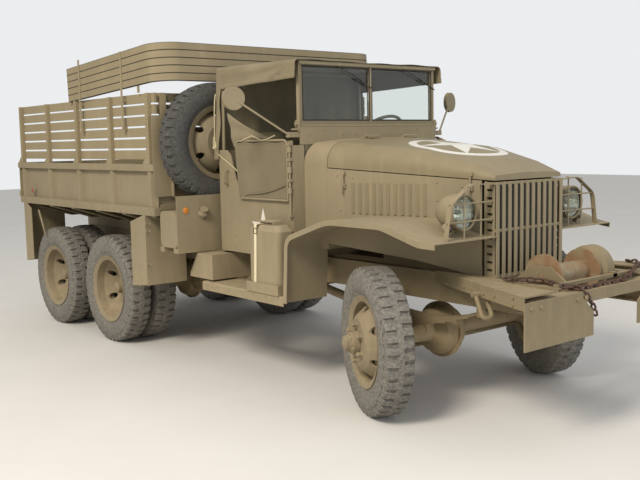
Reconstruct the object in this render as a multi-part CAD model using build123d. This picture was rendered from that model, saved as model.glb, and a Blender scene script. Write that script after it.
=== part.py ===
"""Six-wheel-drive army cargo truck: open cab with a canvas top, short steel cargo body with slatted racks.

Millimetres. X runs forward, Y to the truck's left and Z up from the ground. The shapes are drawn with X
measured from the front axle, and each piece is shifted on export, so that the origin lies on the ground
under the middle of the truck. The front wheels stand steered to the right, as the truck is parked.
"""
import os
from math import cos, radians, sin, sqrt

from build123d import *

os.makedirs("parts", exist_ok=True)

# Wheels and axles
wheelbase = 3683            # front axle to the middle of the rear bogie
bogie_spread = 1118         # between the two rear axles
tyre_radius = 462           # also the height of every axle
tyre_width = 205
rim_flange_radius = 288
bead_radius = 254
rim_width = 150
rim_sheet = 8
rim_flare = 14              # how far each rim flange leans outward
front_track = 1581          # between the front tyres' middles, wheels straight
dual_track = 1720           # between the middles of the twin wheels
dual_spacing = 240          # between the two tyres of a twin
kingpin_offset = 100        # kingpin to the front tyre's middle
steer_rest = 24             # degrees to the right
diff_offset = 240           # differentials sit this far right of the middle
axle_tube_radius = 55
hub_radius = 72
drum_radius = 182
spindle_radius = 34
running_gap = 0.3           # between a shaft and its bore
fit_gap = 0.3               # between curved faces that seat on each other

# Frame
rail_outer = 432            # half width over the side rails
rail_top = 870
rail_depth = 178
rail_flange = 66
rail_sheet = 8
frame_front = 1040
overhang_front = 1128       # front axle to the bumper's face
bumper_plate = 8
bumper_half_width = 832
bumper_gap = 224            # half of the gap between the two bumper plates
bumper_bottom = 596
bumper_top = 850

# Cargo body
body_front = -2158
body_length = 2743
body_half_width = 1118
body_bottom = 1142          # underside of the side rail
floor_top = 1190
body_side_top = 1541
body_sheet = 6
rack_top = 2085
slat_height = 72
slat_pitch = 87
slat_count = 6
slat_thickness = 20

# Cab
windshield_x = -906
windshield_half_width = 665
windshield_bottom = 1792
windshield_top = 2242
cab_half_width = 745
cab_rear = -1838
cab_bottom = 880
cab_floor = 1000
door_sill = 1312
cab_rear_top = 1640
canvas_rear_top = 2258
canvas_thickness = 6

# Hood, cowl and guard
hood_rear = -690
hood_rear_half_width = 600
hood_front_half_width = 323
seam_rear = 1515            # height of the seam between hood and side panels
seam_front = 1440
crown_rear = 1712
crown_front = 1500
guard_x = 513
guard_half_width = 323
guard_bottom = 855
guard_top = 1431

# Fenders and running boards
fender_half_width = 930
fender_top = 1200
fender_sheet = 6
fender_tip_z = 1104
running_board_z = 658
running_board_depth = 65
running_board_front = -786
running_board_rear = -1798

clearance = 6               # between pieces that move past each other

middle_axle_x = -(wheelbase - bogie_spread / 2)
rear_axle_x = -(wheelbase + bogie_spread / 2)
wheel_dish = dual_spacing / 2
kingpin_y = front_track / 2 - kingpin_offset
body_rear = body_front - body_length
tail_overhang = 62          # tailgate and hook behind the cargo body
overall_length = overhang_front - body_rear + tail_overhang
shift_x = overall_length / 2 - overhang_front
sides = (("right", -1), ("left", 1))


def block(x0, x1, y0, y1, z0, z1):
    """Box between two opposite corners."""
    size = Box(abs(x1 - x0), abs(y1 - y0), abs(z1 - z0))
    return Pos((x0 + x1) / 2, (y0 + y1) / 2, (z0 + z1) / 2) * size


def rod(start, end, radius):
    """Round bar between two points."""
    line = Vector(*end) - Vector(*start)
    bottom = (Align.CENTER, Align.CENTER, Align.MIN)
    return Plane(origin=start, z_dir=line) * Cylinder(radius, line.length, align=bottom)


def bent_rod(points, radius, bend):
    """Round bar along straight runs with one bend radius."""
    path = FilletPolyline(*points, radius=bend)
    return sweep(Plane(origin=path @ 0, z_dir=path % 0) * Circle(radius), path=path)


def side_plate(outline, y0, y1):
    """Plate whose outline is a face or X, Z points, between two Y positions."""
    face = outline if isinstance(outline, (Face, Sketch)) else make_face(Polyline(*outline, close=True))
    return extrude(Plane(origin=(0, y1, 0), x_dir=(1, 0, 0), z_dir=(0, -1, 0)) * face, y1 - y0)


def cross_plate(outline, x0, x1):
    """Plate whose outline is a face or Y, Z points, between two X positions."""
    face = outline if isinstance(outline, (Face, Sketch)) else make_face(Polyline(*outline, close=True))
    return extrude(Plane(origin=(x0, 0, 0), x_dir=(0, 1, 0), z_dir=(1, 0, 0)) * face, x1 - x0)


def flat_plate(outline, z0, z1):
    """Plate whose outline is a face or X, Y points, between two heights."""
    face = outline if isinstance(outline, (Face, Sketch)) else make_face(Polyline(*outline, close=True))
    return extrude(Pos(0, 0, z0) * face, z1 - z0)


def lathe(points):
    """Solid of revolution about the Y axis from Y, radius points."""
    return revolve(Plane.YZ * make_face(Polyline(*points, close=True)), Axis.Y)


def mirrored(shape):
    """The same shape on the truck's other side."""
    return mirror(shape, about=Plane.XZ)


def both(shape):
    """A shape and its mirror image."""
    return [shape, mirrored(shape)]


def save(name, *shapes):
    """Write one node, shifted to the truck's origin."""
    solids = [solid for shape in shapes for solid in shape.solids()]
    export_step(Pos(shift_x, 0, 0) * Compound(children=solids), f"parts/{name}.step")


def sheet(points, thickness, bend):
    """Outline of bent sheet metal on the left of a path of runs and arcs, or on its right if negative."""
    path = FilletPolyline(*points, radius=bend)
    side = Side.LEFT if thickness > 0 else Side.RIGHT
    return make_face(offset(path, abs(thickness), side=side, closed=True).edges())


def tyre(y):
    """Tyre about the Y axis, with its middle at y, seated in the rim."""
    half = tyre_width / 2
    bead = rim_width / 2 - rim_sheet - fit_gap
    widest = bead_radius + (half - bead) * (rim_flange_radius - bead_radius) / rim_flare
    # Offset from the middle, radius: the sidewall goes on in line with the rim's flange
    outline = [(bead, bead_radius + fit_gap), (half, widest), (half - 21, tyre_radius)]
    outline += [(-along, radius) for along, radius in reversed(outline)]
    return lathe([(y + along, radius) for along, radius in outline])


def disc_wheel(y, outward):
    """Pressed wheel with six hand holes: its rim is centred at y and its disc is dished outward."""
    half = rim_width / 2
    # Offset from the rim's middle towards the dish, radius
    outline = [(-half - rim_flare, rim_flange_radius), (-half, bead_radius - 6), (-8, bead_radius - 14),
               (wheel_dish - 34, 170), (wheel_dish - rim_sheet, 140), (wheel_dish - rim_sheet, hub_radius + 3),
               (wheel_dish, hub_radius + 3), (wheel_dish, 144), (wheel_dish - 24, 176), (10, bead_radius - 12),
               (half, bead_radius - 6), (half + rim_flare, rim_flange_radius),
               (half + rim_flare - rim_sheet, rim_flange_radius), (half - rim_sheet, bead_radius),
               (rim_sheet - half, bead_radius), (rim_sheet - half - rim_flare, rim_flange_radius)]
    wheel = lathe([(y + outward * along, radius) for along, radius in outline])
    for turn in range(6):
        angle = radians(60 * turn + 30)
        centre = (204 * cos(angle), 204 * sin(angle))
        start, end = y - half * outward, y + (wheel_dish + 5) * outward
        wheel -= rod((centre[0], start, centre[1]), (centre[0], end, centre[1]), 27)
    return wheel


def hub(face, outward, drum_reach, nose):
    """Brake drum, hub flange at y=face and hub nose, bored for the spindle."""
    bore = spindle_radius + running_gap
    # Offset from the face, negative towards the truck's middle, radius
    outline = [(-drum_reach, drum_radius), (-62, drum_radius), (-62, hub_radius), (-20, hub_radius),
               (-20, 122), (-8, 122), (-8, hub_radius), (nose * 0.55, hub_radius - 4), (nose * 0.7, 52),
               (nose, 48), (nose, 0), (nose - 14, 0), (nose - 14, bore), (-92, bore), (-92, hub_radius - 6),
               (-72, hub_radius), (-72, drum_radius - 9), (-drum_reach, drum_radius - 9)]
    return lathe([(face + outward * along, radius) for along, radius in outline])


def at_axle(shape, x):
    """Lift a shape drawn about the Y axis onto an axle at x."""
    return Pos(x, 0, tyre_radius) * shape


def steered(shape, side):
    """Turn a front wheel's shape about its kingpin to the parked steering angle."""
    pivot = Pos(0, side * kingpin_y, 0)
    return pivot * Rot(0, 0, -steer_rest) * pivot.inverse() * shape


# Front wheels
drum_depth = 170
for name, side in sides:
    middle = side * front_track / 2
    save(f"front_{name}_tyre", steered(at_axle(tyre(middle), 0), side))
    face = middle + side * wheel_dish
    rolling = [disc_wheel(middle, side), hub(face, side, 160, 76)]
    save(f"front_{name}_wheel", *[steered(at_axle(shape, 0), side) for shape in rolling])

# Twin wheels: the outer disc is turned round, so that both discs meet at the hub flange
for axle, x in (("middle", middle_axle_x), ("rear", rear_axle_x)):
    for name, side in sides:
        face = side * dual_track / 2
        inner, outer = face - side * dual_spacing / 2, face + side * dual_spacing / 2
        save(f"{axle}_{name}_tyres", *[at_axle(tyre(y), x) for y in (inner, outer)])
        wheels = [disc_wheel(inner, side), disc_wheel(outer, -side), hub(face, side, drum_depth, 122)]
        save(f"{axle}_{name}_wheels", *[at_axle(shape, x) for shape in wheels])

# Front axle: split housing right of the middle, with a ball at each kingpin
ball_radius = 104
knuckle_wall = 18
kingpin_radius = 14
pinion_reach = 345          # wheel centre to the face of the pinion's flange


def axle_housing(x, half_length, pinion_side, pad_y, pad_top):
    """Split axle with its differential, pinion to pinion_side along X, and spring pads at both pad_y."""
    y = -diff_offset
    # Y, radius
    outline = [(-half_length, 0), (-half_length, axle_tube_radius), (y - 230, axle_tube_radius),
               (y - 122, axle_tube_radius + 6), (y - 80, 140), (y - 14, 166), (y - 14, 182), (y + 14, 182),
               (y + 14, 166), (y + 80, 140), (y + 122, axle_tube_radius + 6), (y + 230, axle_tube_radius),
               (half_length, axle_tube_radius), (half_length, 0)]
    nose = rod((0, y, 0), (pinion_side * 300, y, 0), 82) + rod((0, y, 0), (pinion_side * pinion_reach, y, 0), 58)
    housing = at_axle(lathe(outline) + nose, x)
    for side in (-1, 1):
        housing += block(x - 58, x + 58, side * pad_y - 32, side * pad_y + 32, tyre_radius, pad_top)
    return housing


leaf_width = 57
leaf_thickness = 11
spring_y = rail_outer - rail_flange / 2
bogie_spring_y = rail_outer + 62
axle_pad = 14
pad_top = tyre_radius + axle_tube_radius + axle_pad
front_housing = axle_housing(0, kingpin_y - 40, -1, spring_y, pad_top)
for side in (-1, 1):
    kingpin = Pos(0, side * kingpin_y, tyre_radius)
    front_housing += kingpin * Sphere(ball_radius)
    for end in (-1, 1):
        front_housing -= kingpin * Pos(0, 0, end * ball_radius) * Cylinder(kingpin_radius + running_gap, 82)
axles = [front_housing]

# Knuckles, with the brake backing plate, spindle and steering arm, and the tie rod between the arms
arm_length = 200
arm_z = 348
arm_thickness = 18
tie_rod_z = 330
tie_rod_radius = 13
tie_eye_radius = 20
eye_height = 28
arm_pin_radius = 8
backing_reach = 46          # kingpin to the backing plate
spindle_reach = front_track / 2 + wheel_dish + 40 - kingpin_y


def steering_knuckle(side):
    """Socket round the ball, backing plate, spindle, kingpin bosses and steering arm, wheels straight."""
    # Distance outward from the kingpin, radius
    outline = [(-40, 0), (-40, ball_radius + knuckle_wall), (backing_reach, ball_radius + knuckle_wall),
               (backing_reach, drum_radius - 12), (backing_reach + 8, drum_radius - 12),
               (backing_reach + 8, 104), (backing_reach + 72, 60), (backing_reach + 72, spindle_radius),
               (spindle_reach, spindle_radius), (spindle_reach, 0)]
    turned = lathe([(side * (kingpin_y + along), radius) for along, radius in outline])
    centre = Pos(0, side * kingpin_y, tyre_radius)
    knuckle = Pos(0, 0, tyre_radius) * turned + centre * Cylinder(38, 2 * (ball_radius + 44))
    arm = flat_plate([(0, -30), (0, 30), (-arm_length, 18), (-arm_length, -18)], arm_z, arm_z + arm_thickness)
    eye = Pos(-arm_length, 0, arm_z + arm_thickness / 2) * Cylinder(20, arm_thickness)
    pin = Pos(-arm_length, 0, (arm_z + tie_rod_z) / 2) * Cylinder(arm_pin_radius, arm_z - tie_rod_z + eye_height)
    knuckle += Pos(0, side * kingpin_y, 0) * (arm + eye + pin)
    knuckle -= centre * Sphere(ball_radius + 1.5)
    for end in (-1, 1):
        knuckle += centre * Pos(0, 0, end * (ball_radius - 10)) * Cylinder(kingpin_radius, 60)
    return knuckle


for name, side in sides:
    save(f"{name}_knuckle", steered(steering_knuckle(side), side))

arm_x = -arm_length * cos(radians(steer_rest))
arm_shift = arm_length * sin(radians(steer_rest))
tie_ends = [Pos(arm_x, arm_shift + side * kingpin_y, tie_rod_z) for side in (-1, 1)]
tie_rod = rod(tie_ends[0].position, tie_ends[1].position, tie_rod_radius)
for end in tie_ends:
    tie_rod += end * Cylinder(tie_eye_radius, eye_height)
for end in tie_ends:
    tie_rod -= end * Cylinder(arm_pin_radius + running_gap, 2 * eye_height)
save("tie_rod", tie_rod)

# Rear axles, whose spindles carry the twin wheels
for x in (middle_axle_x, rear_axle_x):
    half = dual_track / 2 - drum_depth - 12
    housing = axle_housing(x, half, 1, bogie_spring_y, pad_top)
    for side in (-1, 1):
        face = side * dual_track / 2
        plate = [(side * half, 0), (side * half, drum_radius - 12), (side * (half + 8), drum_radius - 12),
                 (side * (half + 8), 84), (side * (half + 72), 60), (side * (half + 72), spindle_radius),
                 (face + side * 60, spindle_radius), (face + side * 60, 0)]
        housing += at_axle(lathe(plate), x)
    axles.append(housing)
save("axles", *axles)

# Side rails, cross members and springs
rail_bottom = rail_top - rail_depth
frame_rear = body_rear + 60


def rail_channel(x0, x1):
    """Right-hand channel rail, open towards the middle."""
    outer = block(x0, x1, -rail_outer, rail_flange - rail_outer, rail_bottom, rail_top)
    inner = block(x0 - 1, x1 + 1, rail_sheet - rail_outer, rail_flange - rail_outer + 1,
                  rail_bottom + rail_sheet, rail_top - rail_sheet)
    return outer - inner


frame = rail_channel(frame_rear, frame_front)
frame += mirrored(frame)

# X of each cross member, depth, drop below the rails' top flange
members = ((frame_rear + 40, 150, 0), (rear_axle_x - 260, 110, 0), (-(wheelbase), 150, 0),
           (middle_axle_x + 300, 110, 0), (-1500, 110, 0), (435, 60, 14), (640, 90, 0))
for x, depth, drop in members:
    member_top = rail_top - rail_sheet - drop
    beam = block(x - 40, x + 40, rail_sheet - rail_outer, rail_outer - rail_sheet, member_top - depth, member_top)
    beam -= block(x - 34, x + 41, -rail_outer, rail_outer, member_top - depth + 6, member_top - 6)
    frame += beam


def leaf_pack(half_lengths, thickness, width, sag):
    """Leaf spring along X, low in the middle: the underside of its longest leaf passes through z=0."""
    longest = half_lengths[0]
    bend = (longest ** 2 + sag ** 2) / (2 * sag)
    pack = None
    for number, half in enumerate(half_lengths):
        inner, outer = bend + (number - 1) * thickness, bend + number * thickness
        angle = radians(90) - half / bend
        corner = [(radius * cos(angle), bend - radius * sin(angle)) for radius in (inner, outer)]
        left = [(-x, z) for x, z in corner]
        edges = [ThreePointArc(left[0], (0, bend - inner), corner[0]), Line(corner[0], corner[1]),
                 ThreePointArc(corner[1], (0, bend - outer), left[1]), Line(left[1], left[0])]
        leaf = side_plate(make_face(edges), -width / 2, width / 2)
        pack = leaf if pack is None else pack + leaf
    return pack


spring_half = 500
spring_sag = 78
front_leaves = (spring_half, 400, 300, 200, 110)
spring_seat = pad_top + (len(front_leaves) - 1) * leaf_thickness
eye_radius = 21
front_spring = leaf_pack(front_leaves, leaf_thickness, leaf_width, spring_sag)
eye_z = spring_seat + spring_sag + leaf_thickness / 2
for end in (-1, 1):
    eye = (end * spring_half, spring_sag + leaf_thickness / 2)
    roll = Pos(eye[0], 0, eye[1]) * Rot(90, 0, 0) * Cylinder(eye_radius, leaf_width)
    front_spring += roll
for end in (-1, 1):
    eye = (end * spring_half, spring_sag + leaf_thickness / 2)
    front_spring -= Pos(eye[0], 0, eye[1]) * Rot(90, 0, 0) * Cylinder(10 + running_gap, 2 * leaf_width)
    x = end * spring_half
    cheeks = [block(x - 32, x + 32, -spring_y + near, -spring_y + near + 6, eye_z - 26, rail_bottom)
              for near in (-leaf_width / 2 - 7, leaf_width / 2 + 1)]
    reach = leaf_width / 2 + 7
    hanger = cheeks[0] + cheeks[1] + rod((x, -spring_y - reach, eye_z), (x, reach - spring_y, eye_z), 10)
    frame += hanger
    frame += mirrored(hanger)
front_spring = Pos(0, -spring_y, spring_seat) * front_spring

# Bogie: trunnion tube on brackets outside the rails, inverted springs and torque rods
trunnion_z = tyre_radius + 62
trunnion_radius = 46
bogie_sag = 62
bogie_leaves = (bogie_spread / 2 + 50, 520, 430, 340, 250, 160)
bogie_x = -wheelbase
bogie_spring = mirror(leaf_pack(bogie_leaves, leaf_thickness, leaf_width, bogie_sag), about=Plane.XY)
bogie_bend = (bogie_leaves[0] ** 2 + bogie_sag ** 2) / (2 * bogie_sag)
bogie_drop = bogie_bend - (bogie_bend - leaf_thickness) * cos(bogie_leaves[0] / bogie_bend)
bogie_spring_z = pad_top + fit_gap + bogie_drop
bogie_spring = Pos(bogie_x, -bogie_spring_y, bogie_spring_z) * bogie_spring
save("springs", *both(front_spring), *both(bogie_spring))
trunnion = rod((bogie_x, -bogie_spring_y - 50, trunnion_z), (bogie_x, bogie_spring_y + 50, trunnion_z),
               trunnion_radius)
for side in (-1, 1):
    outer = side * rail_outer
    trunnion += side_plate([(bogie_x - 60, trunnion_z - 60), (bogie_x + 60, trunnion_z - 60),
                            (bogie_x + 150, rail_top - 20), (bogie_x - 150, rail_top - 20)],
                           min(outer, outer + side * 10), max(outer, outer + side * 10))
    y0, y1 = sorted((side * (bogie_spring_y - 32), side * (bogie_spring_y + 32)))
    trunnion += block(bogie_x - 36, bogie_x + 36, y0, y1, trunnion_z, bogie_spring_z - leaf_thickness - fit_gap)
save("frame", frame + trunnion)

# Cargo body: floor on sills and bearers, side walls between a bottom and a top rail, tailgate
rail_face = 8               # how far rails stand out from the ribs
panel_recess = 38           # wall sheet behind the rails' outer face
bottom_rail_top = 1206
top_rail_bottom = 1488
top_rail_width = 56
post_width = 48
post_depth = 32
post_first = body_rear + 88
post_pitch = 645
post_count = 5
sill_width = 90
sill_height = 120
bearer_width = 70
bearer_height = body_bottom - rail_top - sill_height
floor = block(body_rear, body_front - top_rail_width, top_rail_width - body_half_width,
              body_half_width - top_rail_width, floor_top - body_sheet, floor_top)
floor += block(body_rear, body_rear + 30, top_rail_width - body_half_width, body_half_width - top_rail_width,
               body_bottom, floor_top)
sills = [block(body_rear + 20, body_front - 20, side * (rail_outer - 60) - sill_width / 2,
               side * (rail_outer - 60) + sill_width / 2, rail_top, rail_top + sill_height) for side in (-1, 1)]
bearers = []
bearer_count = 6
bearer_half = body_half_width - top_rail_width
bearer_inset = 120          # from the body's ends to the first and last bearer
bearer_pitch = (body_length - 2 * bearer_inset) / (bearer_count - 1)
bearer_x = [body_rear + bearer_inset + number * bearer_pitch for number in range(bearer_count)]
for x in bearer_x:
    outline = [(-bearer_half, body_bottom + 42), (-bearer_half, body_bottom - 20), (-650, rail_top + sill_height),
               (650, rail_top + sill_height), (bearer_half, body_bottom - 20), (bearer_half, body_bottom + 42)]
    web = cross_plate(outline, x - bearer_width / 2, x + bearer_width / 2)
    hollow = cross_plate([(y * 0.985, z + (8 if z < body_bottom else -8)) for y, z in outline],
                         x - bearer_width / 2 + 8, x + bearer_width / 2 + 1)
    bearers.append(web - hollow)
save("bed_bearers", *bearers)


def side_wall():
    """Right-hand side wall of the cargo body, with its rails, ribs and recessed sheet."""
    outer = -body_half_width
    wall = block(body_rear, body_front, outer, outer + top_rail_width, body_bottom, bottom_rail_top)
    wall += block(body_rear, body_front, outer, outer + top_rail_width, top_rail_bottom, body_side_top)
    wall += block(body_rear, body_front, outer + panel_recess, outer + panel_recess + body_sheet,
                  bottom_rail_top, top_rail_bottom)
    for number in range(post_count):
        x = post_first + number * post_pitch
        rib = flat_plate([(x - post_width / 2 - 14, outer + panel_recess), (x - post_width / 2, outer + rail_face),
                          (x + post_width / 2, outer + rail_face),
                          (x + post_width / 2 + 14, outer + panel_recess)], bottom_rail_top, top_rail_bottom)
        wall += rib
    return wall


walls = side_wall()
walls += mirrored(walls)
inner_half = body_half_width - top_rail_width
front_kick = 40             # height of the front wall's bottom rail above the floor
front_wall = block(body_front - top_rail_width, body_front, -inner_half, inner_half, top_rail_bottom,
                   body_side_top)
front_wall += block(body_front - top_rail_width, body_front, -inner_half, inner_half, floor_top - body_sheet,
                    floor_top + front_kick)
front_wall += block(body_front - 30, body_front - 24, -inner_half, inner_half, floor_top + front_kick, top_rail_bottom)
walls += front_wall

# Tailgate, hinged on pins under its bottom rail
gate_thickness = 40
gate_bottom = floor_top + 14
gate_half = body_half_width - 8
gate_x = body_rear - clearance
hinge_x = gate_x - gate_thickness / 2
hinge_z = floor_top
gate_pin = 6
knuckle_radius = 11
gate = block(gate_x - gate_thickness, gate_x, -gate_half, gate_half, gate_bottom, gate_bottom + 50)
gate += block(gate_x - gate_thickness, gate_x, -gate_half, gate_half, top_rail_bottom, body_side_top)
gate += block(gate_x - 10, gate_x - 4, -gate_half, gate_half, gate_bottom + 50, top_rail_bottom)
for number in range(5):
    y = (number - 2) * (gate_half - post_width) / 2
    gate += block(gate_x - gate_thickness, gate_x, y - post_width / 2, y + post_width / 2, gate_bottom + 50,
                  top_rail_bottom)
for y in (-870, -290, 290, 870):
    gate += rod((hinge_x, y - 25, hinge_z), (hinge_x, y + 25, hinge_z), knuckle_radius)
    gate += block(hinge_x - 7, hinge_x + 7, y - 25, y + 25, hinge_z, gate_bottom)
    for near, far in ((-50, -26), (26, 50)):
        floor += rod((hinge_x, y + near, hinge_z), (hinge_x, y + far, hinge_z), knuckle_radius)
        floor += block(hinge_x, body_rear, y + near, y + far, hinge_z - 9, hinge_z)
for y in (-870, -290, 290, 870):
    gate -= rod((hinge_x, y - 30, hinge_z), (hinge_x, y + 30, hinge_z), gate_pin + running_gap)
    floor += rod((hinge_x, y - 50, hinge_z), (hinge_x, y + 50, hinge_z), gate_pin)
save("cargo_bed", floor, *sills)
save("tailgate", gate)

# Racks: five posts a side with six slats inside them, and the same slats across the front
post_outer = body_half_width - 4


def rack_slats(x0, x1, y0, y1):
    """Stack of slats filling one plan rectangle."""
    tops = [rack_top - number * slat_pitch for number in range(slat_count)]
    return [block(x0, x1, y0, y1, top - slat_height, top) for top in tops]


slat_outer = post_outer - post_depth
gusset_length = 60
gusset_height = 62
side_rack = None
for number in range(post_count):
    x = post_first + number * post_pitch
    post = block(x - post_width / 2, x + post_width / 2, -post_outer, -slat_outer, body_side_top, rack_top)
    foot = x - post_width / 2
    post += side_plate([(foot + 1, body_side_top), (foot - gusset_length, body_side_top),
                        (foot - gusset_length, body_side_top + 12), (foot + 1, body_side_top + gusset_height)],
                       -post_outer, 8 - post_outer)
    side_rack = post if side_rack is None else side_rack + post
for slat in rack_slats(body_rear + 40, body_front - 2, -slat_outer, slat_thickness - slat_outer):
    side_rack += slat
racks = side_rack + mirrored(side_rack)
front_half = slat_outer - slat_thickness
front_rack = None
for y in (-front_half + 60, -front_half / 3, front_half / 3, front_half - 60):
    post = block(body_front - post_depth - 4, body_front - 4, y - post_width / 2, y + post_width / 2,
                 body_side_top, rack_top)
    front_rack = post if front_rack is None else front_rack + post
for slat in rack_slats(body_front - post_depth - 4 - slat_thickness, body_front - post_depth - 4,
                       -front_half, front_half):
    front_rack += slat
racks += front_rack

# Five canvas bows laid flat on the racks, their legs pointing rearwards, and the bars that hold them
bow_count = 5
bow_pitch = 58
bow_depth = bow_pitch - fit_gap
bow_width = 30
bow_half = body_half_width - 20
bow_rear = -3640
bow_front = -2030
bow_corner = 190
bow_tilt = 3.2              # degrees up to the front
bow_rest = post_first + 2 * post_pitch - post_width / 2 - bow_rear     # from the bows' ends to the first post
bow_base = rack_top + fit_gap - bow_rest * sin(radians(bow_tilt))
bows = []
for number in range(bow_count):
    path = FilletPolyline((0, -bow_half, 0), (bow_front - bow_rear, -bow_half, 0),
                          (bow_front - bow_rear, bow_half, 0), (0, bow_half, 0), radius=bow_corner)
    section = Plane(origin=path @ 0, z_dir=path % 0) * Rectangle(bow_depth, bow_width)
    bow = sweep(section, path=path)
    stacked = Pos(0, 0, bow_depth / 2 + number * bow_pitch) * bow
    bows.append(Pos(bow_rear, 0, bow_base) * Rot(0, -bow_tilt, 0) * stacked)
save("canvas_bows", *bows)


# Front bumper: two plates on a cross channel, and wings that brace its ends back to the rails
wing_top = 882
wing_skirt = 74
wing_rear_x = 150
channel_front = overhang_front - bumper_plate
bumper = cross_plate([(-bumper_half_width, bumper_bottom), (-bumper_half_width, bumper_top),
                      (-bumper_gap - 140, bumper_top), (-bumper_gap, bumper_top - 120),
                      (-bumper_gap, bumper_bottom)], channel_front, overhang_front)
bumper += mirrored(bumper)
channel_half = bumper_half_width - 52
channel = block(frame_front, channel_front, -channel_half, channel_half, 786, bumper_top)
channel -= block(frame_front - 1, channel_front - 8, -channel_half - 1, channel_half + 1, 794, bumper_top - 8)
bumper += channel
wing_inner = rail_outer + 9
wing = flat_plate([(wing_rear_x, -wing_inner), (channel_front, -bumper_half_width), (channel_front, -565),
                   (frame_front, -565), (wing_rear_x + 130, -wing_inner)], wing_top - 8, wing_top)
run = Vector(channel_front - wing_rear_x, wing_inner - bumper_half_width, 0)
skirt_plane = Plane(origin=(wing_rear_x, -wing_inner, wing_top - wing_skirt), x_dir=run,
                    z_dir=run.cross(Vector(0, 0, 1)))
skirt_corners = ((0, 0), (run.length, 0), (run.length, wing_skirt), (0, wing_skirt))
wing += extrude(skirt_plane * make_face(Polyline(*skirt_corners, close=True)), -8)
wing -= block(channel_front, channel_front + 20, -bumper_half_width - 20, 0, bumper_bottom, wing_top)
wing -= block(0, channel_front, -rail_outer, 0, bumper_bottom, wing_top)
# A tow shackle hangs from a pin through each skirt, leaning forward
shackle_rod = 13
shackle_along = 570         # from the wing's rear end
shackle_half = 30
shackle_reach = 150
shackle_lean = 36           # degrees
skirt_out = run.cross(Vector(0, 0, 1)).normalized()
pin_up = wing_top - wing_skirt + shackle_rod + 3
pin_at = Vector(wing_rear_x, -wing_inner, pin_up) + run.normalized() * shackle_along - skirt_out * 4
bow = bent_rod([(-shackle_half, 0, 0), (-shackle_half, 0, -shackle_reach), (shackle_half, 0, -shackle_reach),
                (shackle_half, 0, 0)], shackle_rod, 28)
bow += rod((-shackle_half - 22, 0, 0), (shackle_half + 22, 0, 0), shackle_rod + 3)
upright = Vector(0, 0, cos(radians(shackle_lean))) - run.normalized() * sin(radians(shackle_lean))
wing += Plane(origin=pin_at, x_dir=skirt_out, z_dir=upright) * bow
save("front_bumper", bumper + wing + mirrored(wing))

# Winch between the rails: end bracket, drum and worm gear case
winch_x = 860
winch_z = 905
drum_right = -315
drum_left = 48
winch_shaft = 24
bracket = side_plate([(690, rail_top), (1030, rail_top), (1030, rail_top + 16), (winch_x + 62, winch_z + 62),
                      (winch_x - 62, winch_z + 62), (690, rail_top + 16)], drum_right - 24, drum_right - 10)
for x in (690, 1000):
    bracket += block(x, x + 30, 10 - rail_outer, rail_outer - 10, rail_top, rail_top + 20)
case = at_axle(lathe([(drum_left + 16, 0), (drum_left + 16, 92), (drum_left + 60, 140), (drum_left + 130, 140),
                      (drum_left + 170, 100), (drum_left + 170, 0)]), winch_x)
case = Pos(0, 0, winch_z - tyre_radius) * case
case += block(690, 1030, drum_left + 70, drum_left + 110, rail_top, rail_top + 30)
axle_bore = rod((winch_x, drum_right - 40, winch_z), (winch_x, drum_left + 40, winch_z), winch_shaft + running_gap)
save("winch_frame", bracket - axle_bore, case - axle_bore)
drum = lathe([(drum_right - 22, 0), (drum_right - 22, winch_shaft), (drum_right - 4, winch_shaft),
              (drum_right - 4, 128), (drum_right + 10, 128), (drum_right + 10, 62), (drum_left - 4, 62),
              (drum_left - 4, 128), (drum_left + 10, 128), (drum_left + 10, winch_shaft),
              (drum_left + 34, winch_shaft), (drum_left + 34, 0)])
save("winch_drum", Pos(winch_x, 0, winch_z) * drum)

# Brush guard: flat bars between rails, side strips, and a bent strap round each headlamp
guard_bars = 12
bar_width = 25
bar_thickness = 8
guard = None
for z0, z1 in ((guard_bottom, guard_bottom + 22), (1134, 1152), (guard_top - 16, guard_top)):
    rail = block(guard_x, guard_x + bar_thickness, -guard_half_width, guard_half_width, z0, z1)
    guard = rail if guard is None else guard + rail
for number in range(guard_bars):
    y = (2 * number / (guard_bars - 1) - 1) * (guard_half_width - bar_width / 2)
    guard += block(guard_x + bar_thickness, guard_x + 2 * bar_thickness, y - bar_width / 2, y + bar_width / 2,
                   guard_bottom, guard_top)
strip_width = 80
strip_slots = 11
slot_pitch = (guard_top - guard_bottom) / (strip_slots + 1)
for side in (-1, 1):
    y0, y1 = sorted((side * guard_half_width, side * (guard_half_width - 6)))
    strip = block(guard_x - strip_width, guard_x, y0, y1, guard_bottom, guard_top)
    for number in range(strip_slots):
        z = guard_bottom + (number + 1) * slot_pitch
        strip -= block(guard_x - strip_width / 2 - 22, guard_x - strip_width / 2 + 22, y0 - 1, y1 + 1, z - 7, z + 7)
    guard += strip

# Each headlamp sits behind a bent strap and four rods between the strap and the guard
strap_width = 32
strap_foot = (-735, 1115)
strap = cross_plate(sheet([(-guard_half_width, guard_top - 8), (-520, guard_top), (-700, guard_top - 110),
                           strap_foot], 6, 90), guard_x - strap_width, guard_x)
lamp_rod = 5
rod_x = guard_x - strap_width / 2
rod_foot = fender_tip_z + 9.5       # just clear of the fender's sloping nose
rod_root = 3 - guard_half_width     # inside the guard's side strip
# Y and Z of each rod's two ends, which pass through the strap
for start, end in (((-430, 1434), (-430, rod_foot)), ((-575, 1409), (-575, rod_foot)),
                   ((rod_root, 1318), (-703, 1318)), ((rod_root, 1214), (-728, 1214))):
    strap += rod((rod_x, *start), (rod_x, *end), lamp_rod)
guard += strap
guard += mirrored(strap)
save("brush_guard", guard)

# Hood. Columns: share of its length, crown height, drop from the crown to the shoulders, shoulder radius
hood_sections = ((0, crown_rear, 22, 150), (0.55, 1652, 22, 120), (0.86, 1560, 20, 76), (1, 1480, 10, 20))


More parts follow.
